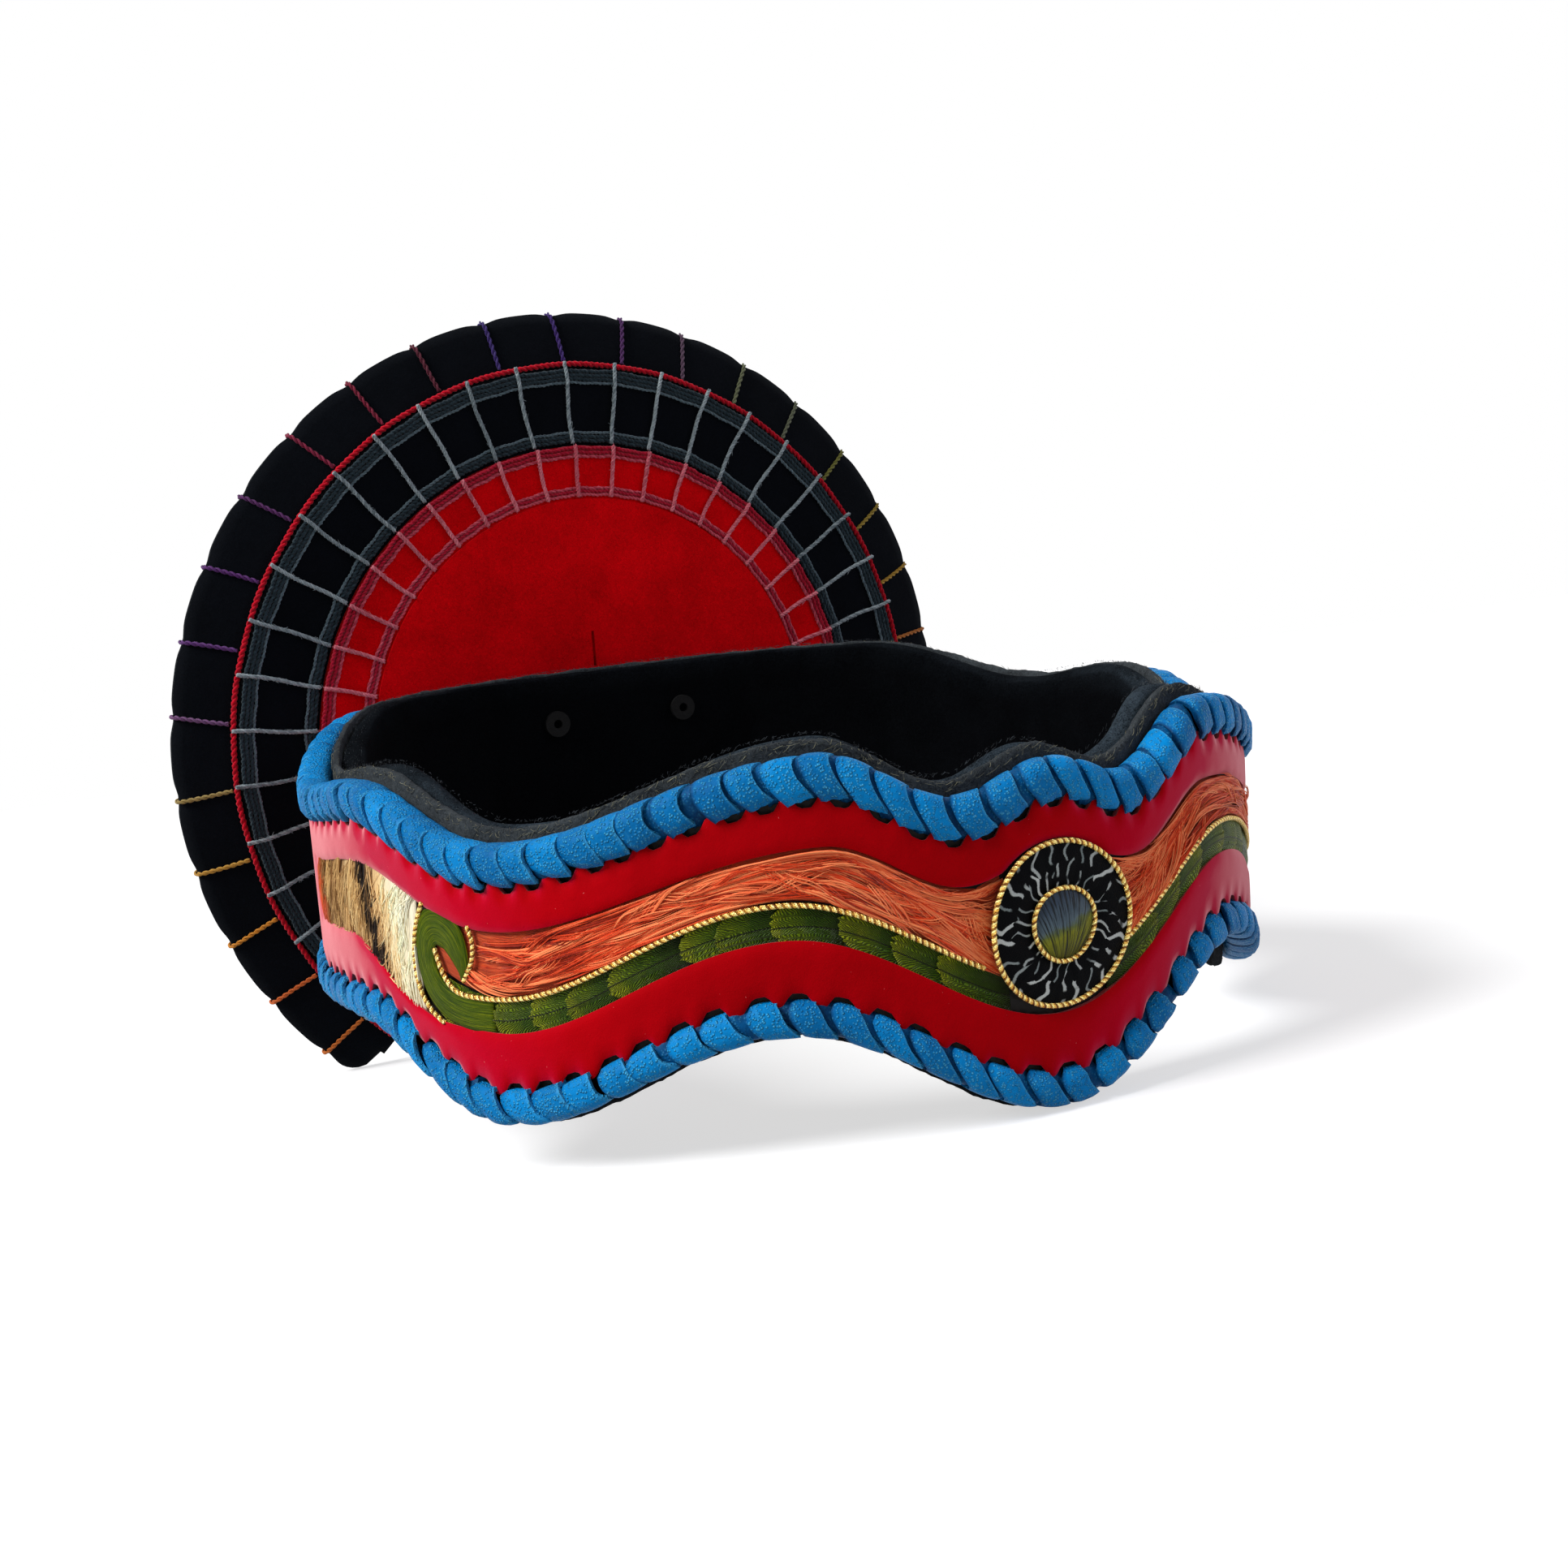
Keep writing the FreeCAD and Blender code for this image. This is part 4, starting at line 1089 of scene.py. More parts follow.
def orangeStrands(side, seed):
    pick = np.random.default_rng(seed)
    paths, shades, radii = [], [], []
    steps = np.linspace(0, 1, orange["points"])
    taper = np.interp(steps, [0, 0.12, 0.7, 1], [0.5, 1, 0.9, 0.12])
    for locks, each, reaches, slant, lift in orange["layers"]:
        for lock in range(locks):
            reach = pick.uniform(*reaches)
            start = pick.uniform(orange["start"] + reach * 0.8, orange["end"] + 1)
            if lock % 4 == 0:
                start, reach = orange["start"] + pick.uniform(3, 13), reach * 0.5
            level = pick.uniform(0.02, 0.98)
            drift = pick.uniform(-slant, slant)
            if start < 32:
                drift -= pick.uniform(0, 0.35) * slant / 0.4
            wave, waves, phase = pick.uniform(0.02, 0.08), pick.uniform(0.6, 1.5), pick.uniform(0, 6.28)
            tone = pick.uniform(0.1, 0.9)
            spread = pick.uniform(0.03, 0.09)
            for _ in range(each):
                across = pick.normal(0, 0.6)
                at = start + pick.uniform(-1.2, 1.2) - reach * pick.uniform(0.75, 1.1) * steps
                share = level + drift * steps + wave * np.sin(waves * 6.28 * steps + phase) \
                    + spread * across * (0.5 + 1.0 * steps ** 2)
                # the barbs droop as they come in beside the medallion
                share = share - (0.45 - 0.6 * level) * np.exp(-(np.maximum(at - 8.0, 0) / 3.4) ** 2) * steps
                share = 0.5 + 0.56 * np.tanh((share - 0.5) / 0.5)
                at = np.clip(at, orange["start"] - 0.2, orange["end"] + 0.2) + 0.02 * steps
                low, high = overBorder(at), underTop(at)
                height = low + (high - low) * share
                out = 0.85 + lift + 0.4 * np.sin(np.pi * steps) + pick.uniform(-0.12, 0.28)
                # they swell in mid-field and rise by the upper strip, and loose ones dip at their ends
                out = out + 0.2 * np.sin(np.pi * np.clip(share, 0, 1)) \
                    + 0.8 * np.clip((share - 0.86) / 0.1, 0, 1) \
                    - 0.35 * (lift > 0) * np.abs(2 * steps - 1) ** 3
                out = nearMedallion(at, np.minimum(out, orange["furthest"]))
                paths.append(onBand(side * at, out, height))
                shades.append(np.clip(tone + pick.uniform(-0.3, 0.3), 0, 1))
                radii.append(orange["thick"] * pick.uniform(0.55, 1.1) * mm * taper)
    return strands(paths, np.array(radii), np.array(shades))


green = {"columns": 26, "rows": 18, "reach": 9.5, "end": 67.0}
greenTips = [13.6, 18.0, 23.0, 29.5, 35.0, 38.6, 46.5, 51.5, 56.0, 61.0, 66.0, 70.0]


def greenMesh(side, seed):
    pick = np.random.default_rng(seed)
    made = []
    for tip in greenTips:
        shade = pick.uniform(0, 1)
        tilt = pick.uniform(-0.5, 0.5)
        reach = green["reach"] + pick.uniform(-0.5, 2.5)
        ragged = pick.uniform(0, 50)

        def shape(along, across, tip=tip, tilt=tilt, reach=reach, ragged=ragged):
            # along 0 at the rounded free tip, 1 at the covered root
            off = (across - 0.5) * 2
            rounded = (1 - np.sqrt(np.clip(1 - np.abs(off) ** 2.4, 0, 1))) * 3.0
            frayed = 0.7 * rumple(np.column_stack([off * 7 + ragged, 0 * off, 0 * off]), 1.0) * (1 - along)
            turn = tip - along * reach - rounded * (1 - along) + frayed
            middle = (windowLow(turn) + borderLine(turn)) / 2
            half = (borderLine(turn) - windowLow(turn)) / 2 + 0.75
            height = middle + off * half * (1 - 0.05 * along) + tilt * (1 - along)
            height = np.clip(height, windowLow(turn) - 0.5, borderLine(turn) + 0.2)
            out = 1.3 - 0.95 * along + 0.28 * (1 - off ** 2) - 0.1 * np.abs(off) \
                + 0.12 * rumple(np.column_stack([along * 5, off * 2, 0 * off + ragged]), 1.0)
            turn = np.clip(turn, 6.0, green["end"] + 3)
            return onBand(side * turn, nearMedallion(turn, out), height)

        bm = sheetGrid(green["columns"], green["rows"], shape)
        mesh = bpy.data.meshes.new("vane")
        bm.to_mesh(mesh)
        bm.free()
        paintPoints(mesh, "shade", np.full(len(mesh.vertices), shade))
        made.append(mesh)
    return made


curl = {
    # turn, height, width in millimetres, from the strip up the stem and over to the hook's tip
    "spine": [(61.0, -10.9, 6.4), (65.2, -10.9, 6.4), (68.6, -9.4, 6.0), (70.6, -5.8, 5.4), (71.2, -1.6, 4.8),
              (70.9, 2.4, 6.0), (69.0, 4.9, 7.4), (66.6, 3.4, 6.8), (65.5, 0.2, 5.0), (65.0, -2.6, 3.0),
              (65.1, -4.9, 0.5)],
    "outerCord": [(70.6, 8.6), (72.2, 4.2), (73.1, -1.5), (72.9, -7.2), (71.4, -11.2), (68.8, -13.6)],
    "hookCord": [(63.6, 5.2), (62.9, 2.2), (63.4, -1.6), (65.0, -5.2)],
    "borderEnd": [(64.6, -7.9), (66.8, -7.0), (68.3, -4.2), (69.2, 0.2)],
}


def curlShape(side):
    spine = resampled(curl["spine"], 0.25)
    ahead = np.gradient(spine[:, :2] * (band["mmPerDegree"], 1), axis=0)
    ahead /= np.linalg.norm(ahead, axis=1, keepdims=True)

    def shape(along, across):
        at = along * (len(spine) - 1)
        turn, height, width, dx, dz = (np.interp(at, np.arange(len(spine)), column)
                                       for column in (*spine.T, *ahead.T))
        off = across - 0.5
        turn = turn - dz * off * width / band["mmPerDegree"]
        height = height + dx * off * width
        height = np.clip(height, windowLow(turn) - 0.4, windowTop(turn) + 0.3)
        out = 1.25 + 0.35 * (1 - (2 * off) ** 2) - 0.35 * np.clip(1 - along * 12, 0, 1)
        return onBand(side * turn, out, height)
    return shape


banded = {"start": 72.4, "barbStart": 72.6, "tufts": 170, "barbs": 7, "thick": 0.13, "furthest": 2.1}


def bandedShape(side):
    def shape(along, across):
        turn = banded["start"] + (band["windowTurn"] - banded["start"]) * along
        low, high = windowLow(turn) - 0.3, windowTop(turn) + 0.3
        height = low + (high - low) * across
        points = onBandMm(turn, 0.0, height)
        swell = 0.5 * np.sin(np.pi * across) + 0.3 * rumple(points, 0.16, 5.0 + side)
        return onBand(side * turn, 0.7 + swell, height)
    return shape


def bandedBarbMesh(side, seed):
    # soft barbs from the top edge down and outwards
    pick = np.random.default_rng(seed)
    steps = np.linspace(0, 1, 9)
    taper = np.interp(steps, [0, 0.15, 0.7, 1], [0.6, 1, 0.9, 0.15])
    paths, tones, radii = [], [], []
    stops = np.array([[p, *rgb(*c)] for p, c in bandedStops])
    for _ in range(banded["tufts"]):
        place, begin = pick.uniform(0, 1), pick.uniform(-0.05, 0.75)
        length, slant, bow = pick.uniform(0.3, 0.6), pick.uniform(0.02, 0.1), pick.uniform(-0.05, 0.05)
        dark = pick.uniform(0.94, 1.15)
        for _ in range(banded["barbs"]):
            share = begin + pick.uniform(-0.04, 0.04) + length * pick.uniform(0.8, 1.1) * steps
            along = place + pick.normal(0, 0.012) + slant * steps + bow * steps ** 2 \
                + pick.normal(0, 0.03) * steps
            share = np.clip(share, -0.02, 1.0) + 0.02 * steps
            along = np.clip(along, 0.0, 1.0)
            turn = banded["barbStart"] + (band["windowTurn"] - banded["barbStart"]) * along
            low, high = windowLow(turn) - 0.1, windowTop(turn) + 0.1
            out = 1.25 + 0.35 * np.sin(np.pi * np.clip(share, 0, 1)) + pick.uniform(-0.1, 0.35)
            out = np.minimum(out, banded["furthest"])
            paths.append(onBand(side * turn, out, high + (low - high) * share))
            spot = np.clip(along.mean() - 0.12 * (0.5 - share.mean()) + pick.normal(0, 0.018), 0, 1)
            tones.append([np.interp(spot, stops[:, 0], stops[:, i]) * dark for i in (1, 2, 3)])
            radii.append(banded["thick"] * pick.uniform(0.6, 1.2) * mm * taper)
    return strands(paths, np.array(radii), np.full(len(paths), 0.5), tones=np.clip(tones, 0, 1))


cord = {"width": 1.0, "out": 1.65, "pitch": 1.3, "step": 0.14}


def twisted(path, outward, width, pitch, start):
    # three gold plies: one painted dark as shade, one mid gold and one pale as a painted highlight
    runs = plies(path, outward, width * mm, pitch, start=start)
    return strands(runs, np.full(len(path), width * 0.27 * mm), np.array([0.1, 0.5, 0.95]), sides=1)


def goldCord(route, side, width=cord["width"]):
    # route is (turn, height) pairs, laid on the band
    flat = resampled([(turn * band["mmPerDegree"], height) for turn, height in route], cord["step"])
    turn, height = flat[:, 0] / band["mmPerDegree"] * side, flat[:, 1]
    path = onBand(turn, cord["out"], height)
    outward = onBand(turn, cord["out"] + 1, height) - path
    return twisted(path, outward, width, cord["pitch"] * width / cord["width"] * mm, chance.uniform(0, 6))


for name, side in (("left", -1), ("right", 1)):
    bed = sheetGrid(120, 18, orangeShape(side))
    bmesh.ops.recalc_face_normals(bed, faces=bed.faces)
    addPiece("orange_bed_" + name, bed, [orangeBase], "orange_feather")
    addPiece("orange_barbs_" + name, orangeStrands(side, 11 + side), [orangeHair],
             "orange_feather", "orange_feathers_" + name)
    giveWall(addPiece("green_vanes_" + name, joined(greenMesh(side, 21 + side)), [greenFeather],
                      "green_feather", "green_feathers_" + name), 0.12)
    giveWall(addPiece("green_curl_vane_" + name, sheetGrid(60, 10, curlShape(side)), [greenCurl],
                      "green_feather", "green_curl_" + name), 0.3)
    giveWall(addPiece("banded_vane_" + name, sheetGrid(90, 24, bandedShape(side)), [bandedFeather],
                      "banded_feather", "banded_feather_" + name), 0.3)
    addPiece("banded_barbs_" + name, bandedBarbMesh(side, 31 + side), [bandedBarbs], "banded_feather")
    route = [(t, float(borderLine(t))) for t in np.arange(8.8, 62.1, 3.0)] + curl["borderEnd"]
    addPiece("gold_border_" + name, goldCord(route, side), [gold], "gold_cord", "border_cord_" + name)
    curlCords = [goldCord(curl["outerCord"], side, 1.0), goldCord(curl["hookCord"], side, 0.9)]
    addPiece("gold_curl_" + name, joined(curlCords), [gold], "gold_cord", "curl_cord_" + name)

print("medallion")
medal = {
    "y": -99.25, "deep": 2.2, "disc": 14.2, "hole": 5.9, "rim": 14.45, "inner": 6.45,
    "eye": 6.1, "eyeRise": 1.1, "wall": 1.2,
}


def medalRing(along, across):
    angle = along * 2 * np.pi
    radius = medal["hole"] + (medal["disc"] - medal["hole"]) * across
    lift = medal["deep"] - 0.25 + 0.5 * np.sin(np.pi * across)
    lift = lift + 0.16 * rumple(np.column_stack([np.cos(angle) * 9, np.sin(angle) * 9, across]), 1.0, 6.0)
    return toRow(np.stack([radius * np.cos(angle), medal["y"] - lift, radius * np.sin(angle)], 1))


ring = sheetGrid(150, 22, medalRing, close=True)
bmesh.ops.recalc_face_normals(ring, faces=ring.faces)
plumeRing = addPiece("medallion_plume", ring, [plume], "speckled_feather", "medallion_disc")
giveWall(plumeRing, medal["wall"])


def eyeShape(along, across):
    angle = along * 2 * np.pi
    radius = medal["eye"] * across
    lift = medal["deep"] + medal["eyeRise"] + 0.45 - 1.3 * across ** 2.4
    return toRow(np.stack([radius * np.cos(angle), medal["y"] - lift, radius * np.sin(angle)], 1))


eye = sheetGrid(72, 14, eyeShape, close=True)
lay = eye.loops.layers.uv.verify()
for patch in eye.faces:
    for loop in patch.loops:
        local = bandFrame.inverted() @ loop.vert.co / mm
        loop[lay].uv = (0.5 + local.x / medal["eye"] / 2, 0.5 + local.z / medal["eye"] / 2)
bmesh.ops.recalc_face_normals(eye, faces=eye.faces)
addPiece("medallion_eye", eye, [eyePlume], "slate_feather", "medallion_centre")


def ringCord(radius, width, lift, pitch):
    angle = np.linspace(0, 2 * np.pi, int(radius * 2 * np.pi / 0.17))
    reach = radius + 0.12 * np.sin(angle * 3 + radius)
    path = toRow(np.stack([reach * np.cos(angle), medal["y"] - lift + 0 * angle, reach * np.sin(angle)], 1))
    outward = np.tile(-bandTurn[:, 1], (len(angle), 1))
    around = radius * 2 * np.pi
    return twisted(path, outward, width, around * mm / round(around / pitch), radius)


addPiece("medallion_rim_cord", ringCord(medal["rim"], 1.0, medal["deep"] - 0.2, 1.3), [gold],
         "gold_cord", "medallion_cord")
addPiece("medallion_eye_cord", ringCord(medal["inner"], 0.92, medal["deep"] + 0.4, 1.25), [gold],
         "gold_cord", "medallion_inner_cord")

print("plate")
plate = {
    "height": 18.0, "front": 96.0, "gap": 41.0, "tier": 1.2, "dish": 4.5, "corner": 6.4,
    "rim": 107.5, "middle": 92.8, "inner": 73.4, "felt": 59.8, "threads": 27, "spokes": 33,
    "dent": 0.75, "dentWidth": 1.6, "dentReach": 10, "rounding": 8, "hub": 17.5, "redCord": 93.65,
}


def onPlate(radius, spin, depth):
    radius, spin, depth = np.broadcast_arrays(*(np.asarray(a, float) for a in (radius, spin, depth)))
    angle = np.radians(spin)
    return toRow(np.stack([radius * np.cos(angle), plate["front"] + depth,
                           plate["height"] - radius * np.sin(angle)], -1))


def spread(count):
    start = 90 + plate["gap"] + plate["corner"]
    span = 360 - 2 * plate["gap"] - 2 * plate["corner"]
    return start + span * np.arange(count) / (count - 1)


threadSpins, spokeSpins = spread(plate["threads"]), spread(plate["spokes"])


def dented(spin):
    # how far the rim is pulled in at a thread, 0 to 1
    nearest = np.min(np.abs(spin[..., None] - threadSpins), axis=-1)
    return np.exp(-(nearest / plate["dentWidth"]) ** 2)


def rimShare(radius):
    # 0 inside the rim's outer part, 1 at the rim
    return np.clip((radius - plate["rim"] + plate["dentReach"]) / plate["dentReach"], 0, 1)


def slab(profileOf, columns, rows, pull, seed):
    # a closed sector: profileOf(share) gives (radius, depth) round the section
    start, span = 90 + plate["gap"], 360 - 2 * plate["gap"]

    def shape(along, across):
        spin = start + span * along
        radius, depth = profileOf(across)
        # the lower corners are rounded off
        edge = np.minimum(along, 1 - along) * span * np.pi / 180 * plate["rim"]
        near = 1 - np.clip(edge / plate["rounding"], 0, 1)
        corner = (1 - np.sqrt(np.clip(1 - near ** 2, 0, 1))) * plate["rounding"]
        radius = radius - np.where(radius > plate["rim"] - plate["rounding"], corner, 0)
        radius = radius - pull * dented(spin) * rimShare(radius)
        angle = np.radians(spin)
        flat = np.column_stack([radius * np.cos(angle), radius * np.sin(angle), 0 * spin])
        return onPlate(radius, spin, depth + 0.25 * rumple(flat, 0.05, seed))
    bm = sheetGrid(columns, rows, shape)
    bmesh.ops.remove_doubles(bm, verts=bm.verts, dist=2e-6)
    ends = [e for e in bm.edges if e.is_boundary]
    bmesh.ops.holes_fill(bm, edges=ends, sides=0)
    bmesh.ops.recalc_face_normals(bm, faces=bm.faces)
    return bm


def section(points):
    # a closed section through (radius, depth) corners, read at an even pace
    loop = np.array(points + points[:1], float)
    length = np.concatenate([[0], np.cumsum(np.linalg.norm(np.diff(loop, axis=0), axis=1))])

    def at(share):
        return [np.interp(share * length[-1], length, loop[:, i]) for i in (0, 1)]
    return at


baseFace = 3 * plate["tier"]
rimFace = baseFace + plate["dish"]
basePoints = [
    (18, baseFace), (plate["middle"] - 6, baseFace), (plate["middle"], baseFace + 0.2), (98, baseFace + 1.7),
    (104, rimFace - 1.0), (106.6, rimFace - 0.1), (107.4, rimFace + 0.7), (107.5, rimFace + 1.6),
    (107.1, rimFace + 2.6), (105.8, rimFace + 2.9), (100, rimFace + 1.5), (plate["middle"], baseFace + 3.0),
    (18, baseFace + 3.0)]
bm = slab(section(basePoints), 380, 64, plate["dent"], 1.0)
addPiece("plate_rim_felt", bm, [plateBlack], "black_leather", "plate_base")


def tier(radius, depth, columns, rows, seed):
    points = [(plate["hub"], depth), (radius - 0.5, depth), (radius - 0.12, depth + 0.15),
              (radius, depth + 0.5), (radius, depth + 1.0), (radius - 0.15, depth + 1.2),
              (plate["hub"], depth + 1.2)]
    return slab(section(points), columns, rows, 0, seed)


bm = tier(plate["middle"], 2 * plate["tier"], 260, 48, 2.0)
addPiece("plate_black_tier", bm, [plateBlack], "black_felt", "plate_middle_tier")
bm = tier(plate["inner"], plate["tier"], 220, 44, 3.0)
addPiece("plate_red_tier", bm, [plateRed], "red_felt", "plate_inner_tier")

# colours of the threads, clockwise from the lower left end
threadColours = [rgb(*c) for c in (
    (226, 120, 34), (232, 112, 40), (232, 150, 36), (214, 160, 60), (176, 150, 84), (128, 84, 132),
    (104, 52, 128), (98, 40, 120), (96, 36, 104), (150, 20, 64), (140, 12, 52), (96, 14, 40), (58, 34, 116),
    (62, 30, 118), (84, 36, 100), (96, 70, 92), (112, 118, 84), (104, 110, 84), (122, 122, 40),
    (176, 148, 44), (206, 160, 48), (214, 128, 44), (224, 120, 40), (222, 150, 40), (160, 60, 110),
    (110, 46, 122), (88, 40, 118))]

# radius and depth of a thread, from the red cord over the rim to the back
threadRoute = [
    (94.6, baseFace + 0.35), (98, baseFace + 1.35), (104, rimFace - 1.35), (106.5, rimFace - 0.5),
    (107.3, rimFace + 0.6), (107.4, rimFace + 1.7), (106.8, rimFace + 3.0), (105.4, rimFace + 3.35),
    (100, rimFace + 1.95), (95.6, baseFace + 4.1)]


def threadMesh():
    paths, tones, shades = [], [], []
    radius, depth = resampled(threadRoute, 0.3).T
    for number, spin in enumerate(threadSpins):
        lean = chance.uniform(-0.5, 0.5)
        spins = spin + lean * (radius - 100) / 8 + 0.12 * np.sin(np.linspace(0, 5, len(radius)) + number)
        path = onPlate(radius - rimShare(radius) * plate["dent"] * 0.8, spins, depth)
        outward = onPlate(radius + 0.3, spins, depth - 1) - path
        for run in plies(path, outward, 1.15 * mm, 3.4 * mm, 2, chance.uniform(0, 6)):
            paths.append(run)
            tones.append(threadColours[number])
            shades.append(chance.uniform(0, 1))
    return strands(paths, np.full(len(radius), 0.3 * mm), np.array(shades), sides=1, tones=np.array(tones))


addPiece("rim_thread_wraps", threadMesh(), [threadTone], "coloured_thread", "rim_threads")


yarnRun = {"spokePoints": 66, "bandPoints": 700, "hairs": 1200, "ringPoints": 900}


def yarnGrid(inside, outside, over, faceDepth, lanes):
    # spokes laid over flat bands; each lane is (radius, width, which yarn)
    spokes, bands = [], {}
    for number, spin in enumerate(spokeSpins):
        radius = np.linspace(inside + 0.3, outside + over, yarnRun["spokePoints"])
        bend = spin + 0.14 * np.sin(radius * 0.35 + number * 1.3) + chance.uniform(-0.12, 0.12)
        lift = 0.5 + 0.35 * np.clip(sum(np.exp(-((radius - lane[0]) / 1.0) ** 2) for lane in lanes), 0, 1)
        lift = lift + np.clip(radius - outside, 0, 1.2) * (0.25 if over > 1 else 0)
        path = onPlate(radius, bend, faceDepth - lift)
        outward = onPlate(radius, bend, faceDepth - 2) - onPlate(radius, bend, faceDepth - 1)
        spokes += plies(path, outward, 1.1 * mm, 2.6 * mm, 3, chance.uniform(0, 6))
    for place, width, yarn in lanes:
        spin = np.linspace(spokeSpins[0] - 1.5, spokeSpins[-1] + 1.5, yarnRun["bandPoints"])
        # it sags a little between the spokes
        sag = 0.12 * (np.cos((spin - spokeSpins[0]) / (spokeSpins[1] - spokeSpins[0]) * 2 * np.pi) - 1)
        path = onPlate(place + sag + 0.07 * np.sin(spin * 1.7 + place * 5), spin, faceDepth - 0.3)
        outward = onPlate(place, spin, faceDepth - 1.3) - onPlate(place, spin, faceDepth - 0.3)
        runs = plies(path, outward, width * mm, 2.2 * mm, 2, chance.uniform(0, 6))
        bands.setdefault(yarn, []).append(
            strands(runs, np.full(len(spin), width * 0.34 * mm), dice.uniform(0.1, 0.9, 2)))
    thick = np.full(yarnRun["spokePoints"], 0.29 * mm)
    return strands(spokes, thick, dice.uniform(0, 1, len(spokes))), bands


def yarnHairs(inside, outside, faceDepth):
    # loose fluff along the spokes
    paths = []
    for _ in range(yarnRun["hairs"]):
        run = dice.uniform(0.6, 1.7)
        spin, radius = dice.choice(spokeSpins), dice.uniform(inside, outside)
        heading = dice.normal(0, 0.6)
        steps = np.linspace(-0.5, 0.5, 5) * run
        reach = radius + steps * np.cos(heading) + 0.3 * dice.uniform(-1, 1)
        around = spin + np.degrees((steps * np.sin(heading) + 0.45 * dice.uniform(-1, 1)) / radius)
        depth = faceDepth - 0.6 - dice.uniform(0.05, 0.4) + 0.3 * (steps / run) ** 2
        paths.append(onPlate(reach, around, depth))
    return strands(paths, np.array([0.4, 1, 1, 0.8, 0.3]) * 0.05 * mm, dice.uniform(0, 1, len(paths)))


yarnFinishes = {"dark": slateYarn, "grey": greyYarn, "rose": roseYarn, "pink": pinkYarn}
yarns = (("grey", plate["inner"] + 0.25, plate["middle"], 1.5, 2 * plate["tier"], paleYarn,
          [(92.0, 1.1, "dark"), (91.0, 1.1, "dark"), (90.0, 1.1, "dark"), (89.1, 0.8, "grey"),
           (76.6, 0.8, "grey"), (75.6, 1.1, "dark"), (74.6, 1.1, "dark")]),
         ("pink", plate["felt"] + 0.25, plate["inner"], -0.1, plate["tier"], rosyYarn,
          [(72.7, 1.1, "rose"), (71.6, 1.1, "rose"), (70.6, 0.9, "pink"), (62.6, 0.8, "pink"),
           (61.8, 1.0, "rose"), (60.9, 0.9, "pink")]))
for name, inside, outside, over, depth, spokeFinish, lanes in yarns:
    spokeMesh, bands = yarnGrid(inside, outside, over, depth, lanes)
    addPiece(name + "_yarn_spokes", spokeMesh, [spokeFinish], name + "_yarn", name + "_yarn_grid")
    for tint, meshes in bands.items():
        addPiece(name + "_yarn_" + tint + "_bands", joined(meshes), [yarnFinishes[tint]], name + "_yarn")
    addPiece(name + "_yarn_fluff", yarnHairs(inside, outside, depth), [spokeFinish], name + "_yarn")

spin = np.linspace(90 + plate["gap"] + 1, 450 - plate["gap"] - 1, yarnRun["ringPoints"])
redLine = onPlate(plate["redCord"] + 0.1 * np.sin(spin * 0.4), spin, baseFace - 0.45)
outward = onPlate(plate["redCord"], spin, baseFace - 1.45) - onPlate(plate["redCord"], spin, baseFace - 0.45)
redPlies = strands(plies(redLine, outward, 1.5 * mm, 3 * mm, 2), np.full(len(spin), 0.42 * mm),
                   np.array([0.3, 0.7]), sides=1)
addPiece("red_line_cord", redPlies, [redYarn], "red_cord", "plate_red_cord")

# parts of the frame that only take a better finish
for finish, nodes in ((plateRed, ["plate_centre_felt"]),
                      (darkHide, ["plate_backing", "closure_patch", "band_core"]),
                      (rivetMetal, ["rivet_left", "rivet_right", "rivet_washer_left", "rivet_washer_right"])):
    for node in nodes:
        for place in frame["nodes"][node].material_slots:
            place.material = finish

print("stage")
studio = {
    "floor": 0.6, "world": 0.3, "key": 3.6, "keyFrom": (-60, 42), "side": 0.55, "sideFrom": (80, 24),
    "fill": 0.14, "fillFrom": (0, 12), "soft": 26, "sideColour": (0.78, 0.74, 1.0),
    "floorHalf": 30, "floorDrop": 0.0002, "floorGrey": (0.5, 0.5, 0.5, 1),
}


def whiteSeen(tree):
    # 1 for what the eye, reflections and clear things see, 0 for the light that falls on the scene
    path = tree.nodes.new("ShaderNodeLightPath")
    seen = path.outputs["Is Camera Ray"]
    for ray in ("Is Glossy Ray", "Is Transmission Ray"):
        either = tree.nodes.new("ShaderNodeMath")
        either.operation = "MAXIMUM"
        tree.links.new(seen, either.inputs[0])
        tree.links.new(path.outputs[ray], either.inputs[1])
        seen = either.outputs[0]
    return seen


world = bpy.data.worlds.new("studio")
bpy.context.scene.world = world
world.use_nodes = True
tree = world.node_tree
dim, bright = tree.nodes["Background"], tree.nodes.new("ShaderNodeBackground")
for sky, strength in ((dim, studio["world"]), (bright, 1.0)):
    sky.inputs["Color"].default_value = (1, 1, 1, 1)
    sky.inputs["Strength"].default_value = strength
choose = tree.nodes.new("ShaderNodeMixShader")
tree.links.new(whiteSeen(tree), choose.inputs[0])
tree.links.new(dim.outputs[0], choose.inputs[1])
tree.links.new(bright.outputs[0], choose.inputs[2])
tree.links.new(choose.outputs[0], tree.nodes["World Output"].inputs["Surface"])

bm = bmesh.new()
bmesh.ops.create_grid(bm, x_segments=1, y_segments=1, size=studio["floorHalf"])
bmesh.ops.translate(bm, verts=bm.verts, vec=(0, 0, cadBox[0][2] - studio["floorDrop"]))
floorMesh = bpy.data.meshes.new("floor")
bm.to_mesh(floorMesh)
bm.free()
floor = bpy.data.objects.new("floor", floorMesh)
bpy.context.scene.collection.objects.link(floor)
paper = bpy.data.materials.new("paper")
paper.use_nodes = True
tree = paper.node_tree
shader = tree.nodes["Principled BSDF"]
shader.inputs["Base Color"].default_value = studio["floorGrey"]
shader.inputs["Roughness"].default_value = 1.0
shader.inputs["Specular IOR Level"].default_value = 0.0
glow = tree.nodes.new("ShaderNodeEmission")
mask = tree.nodes.new("ShaderNodeMath")
mask.operation = "MULTIPLY"
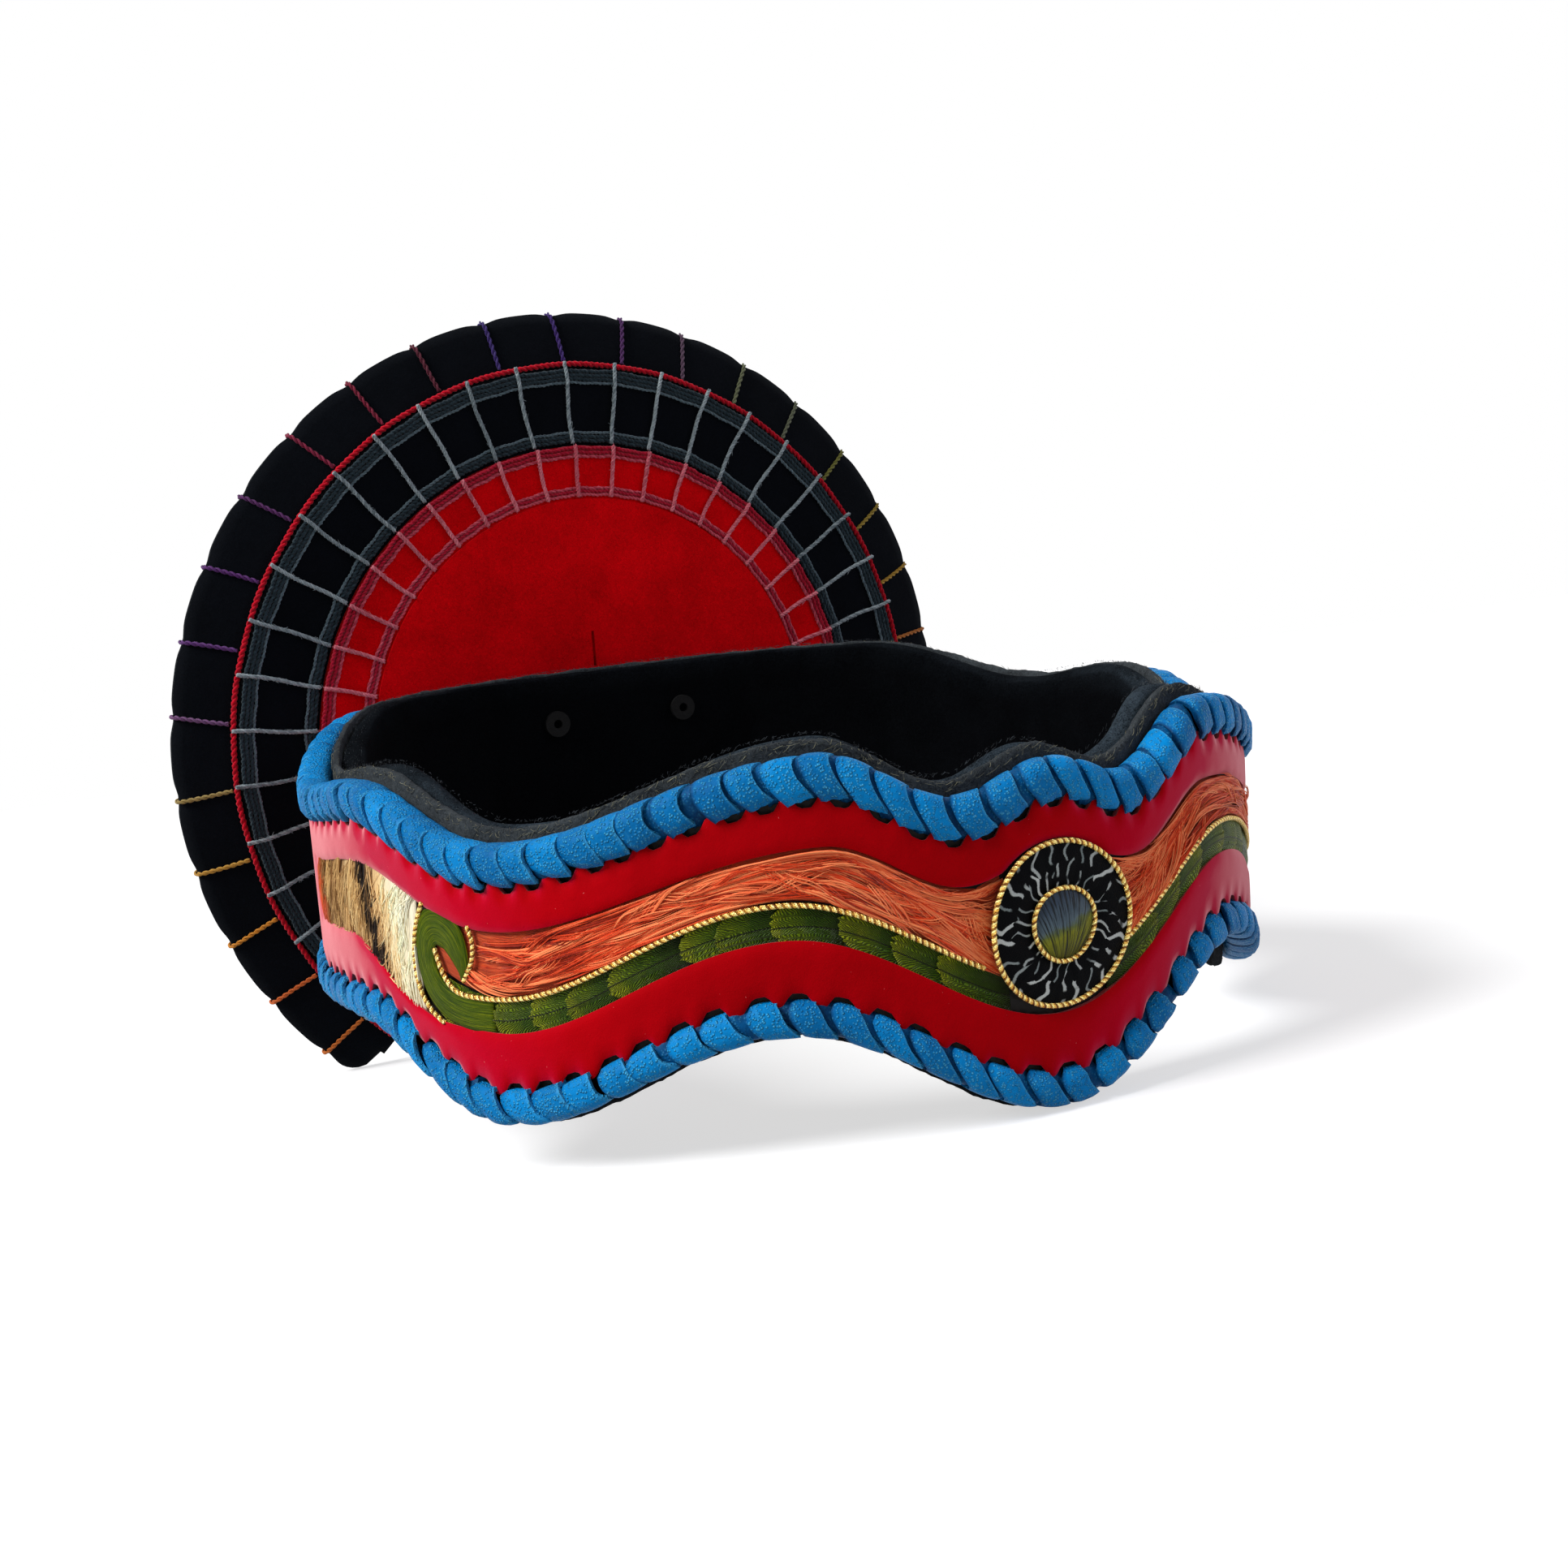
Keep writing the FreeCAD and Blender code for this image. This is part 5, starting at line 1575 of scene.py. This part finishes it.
mask.inputs[1].default_value = studio["floor"]
tree.links.new(whiteSeen(tree), mask.inputs[0])
tree.links.new(mask.outputs[0], glow.inputs["Strength"])
both = tree.nodes.new("ShaderNodeAddShader")
tree.links.new(shader.outputs[0], both.inputs[0])
tree.links.new(glow.outputs[0], both.inputs[1])
tree.links.new(both.outputs[0], tree.nodes["Material Output"].inputs["Surface"])
floorMesh.materials.append(paper)

view = {
    "azimuth": 27.9, "elevation": 9.0, "distance": 422.7, "roll": 4.4, "lens": 44.66, "aim": (1.4, 0, 13.7),
}
aside, above = math.radians(view["azimuth"]), math.radians(view["elevation"])
back = Vector((-math.sin(aside) * math.cos(above), -math.cos(aside) * math.cos(above), math.sin(above)))
rightward = (-back).cross(Vector((0, 0, 1))).normalized()
upward = rightward.cross(-back)
roll = math.radians(view["roll"])
rolledRight = rightward * math.cos(roll) - upward * math.sin(roll)
rolledUp = upward * math.cos(roll) + rightward * math.sin(roll)
lensFrame = Matrix((rolledRight, rolledUp, back)).transposed().to_4x4()
lensFrame.translation = (Vector(view["aim"]) + back * view["distance"]) * mm
cameraData = bpy.data.cameras.new("camera")
cameraData.sensor_width = 36
cameraData.lens = view["lens"]
cameraData.clip_start = 0.01
camera = bpy.data.objects.new("camera", cameraData)
bpy.context.scene.collection.objects.link(camera)
camera.matrix_world = bandFrame @ lensFrame
bpy.context.scene.camera = camera


def softLight(name, strength, azimuth, elevation, colour=(1, 1, 1)):
    # a wide distant lamp, set by its angles from the camera's side
    data = bpy.data.lights.new(name, "SUN")
    data.energy = strength
    data.angle = math.radians(studio["soft"])
    data.color = colour
    lamp = bpy.data.objects.new(name, data)
    turn = math.radians(-view["azimuth"] + azimuth)
    lift = math.radians(elevation)
    source = Vector((math.sin(turn) * math.cos(lift), -math.cos(turn) * math.cos(lift), math.sin(lift)))
    lamp.matrix_world = source.to_track_quat("Z", "Y").to_matrix().to_4x4()
    bpy.context.scene.collection.objects.link(lamp)


softLight("key", studio["key"], *studio["keyFrom"])
softLight("side", studio["side"], *studio["sideFrom"], studio["sideColour"])
softLight("fill", studio["fill"], *studio["fillFrom"])

bpy.context.scene.view_settings.view_transform = "Standard"

print("done")
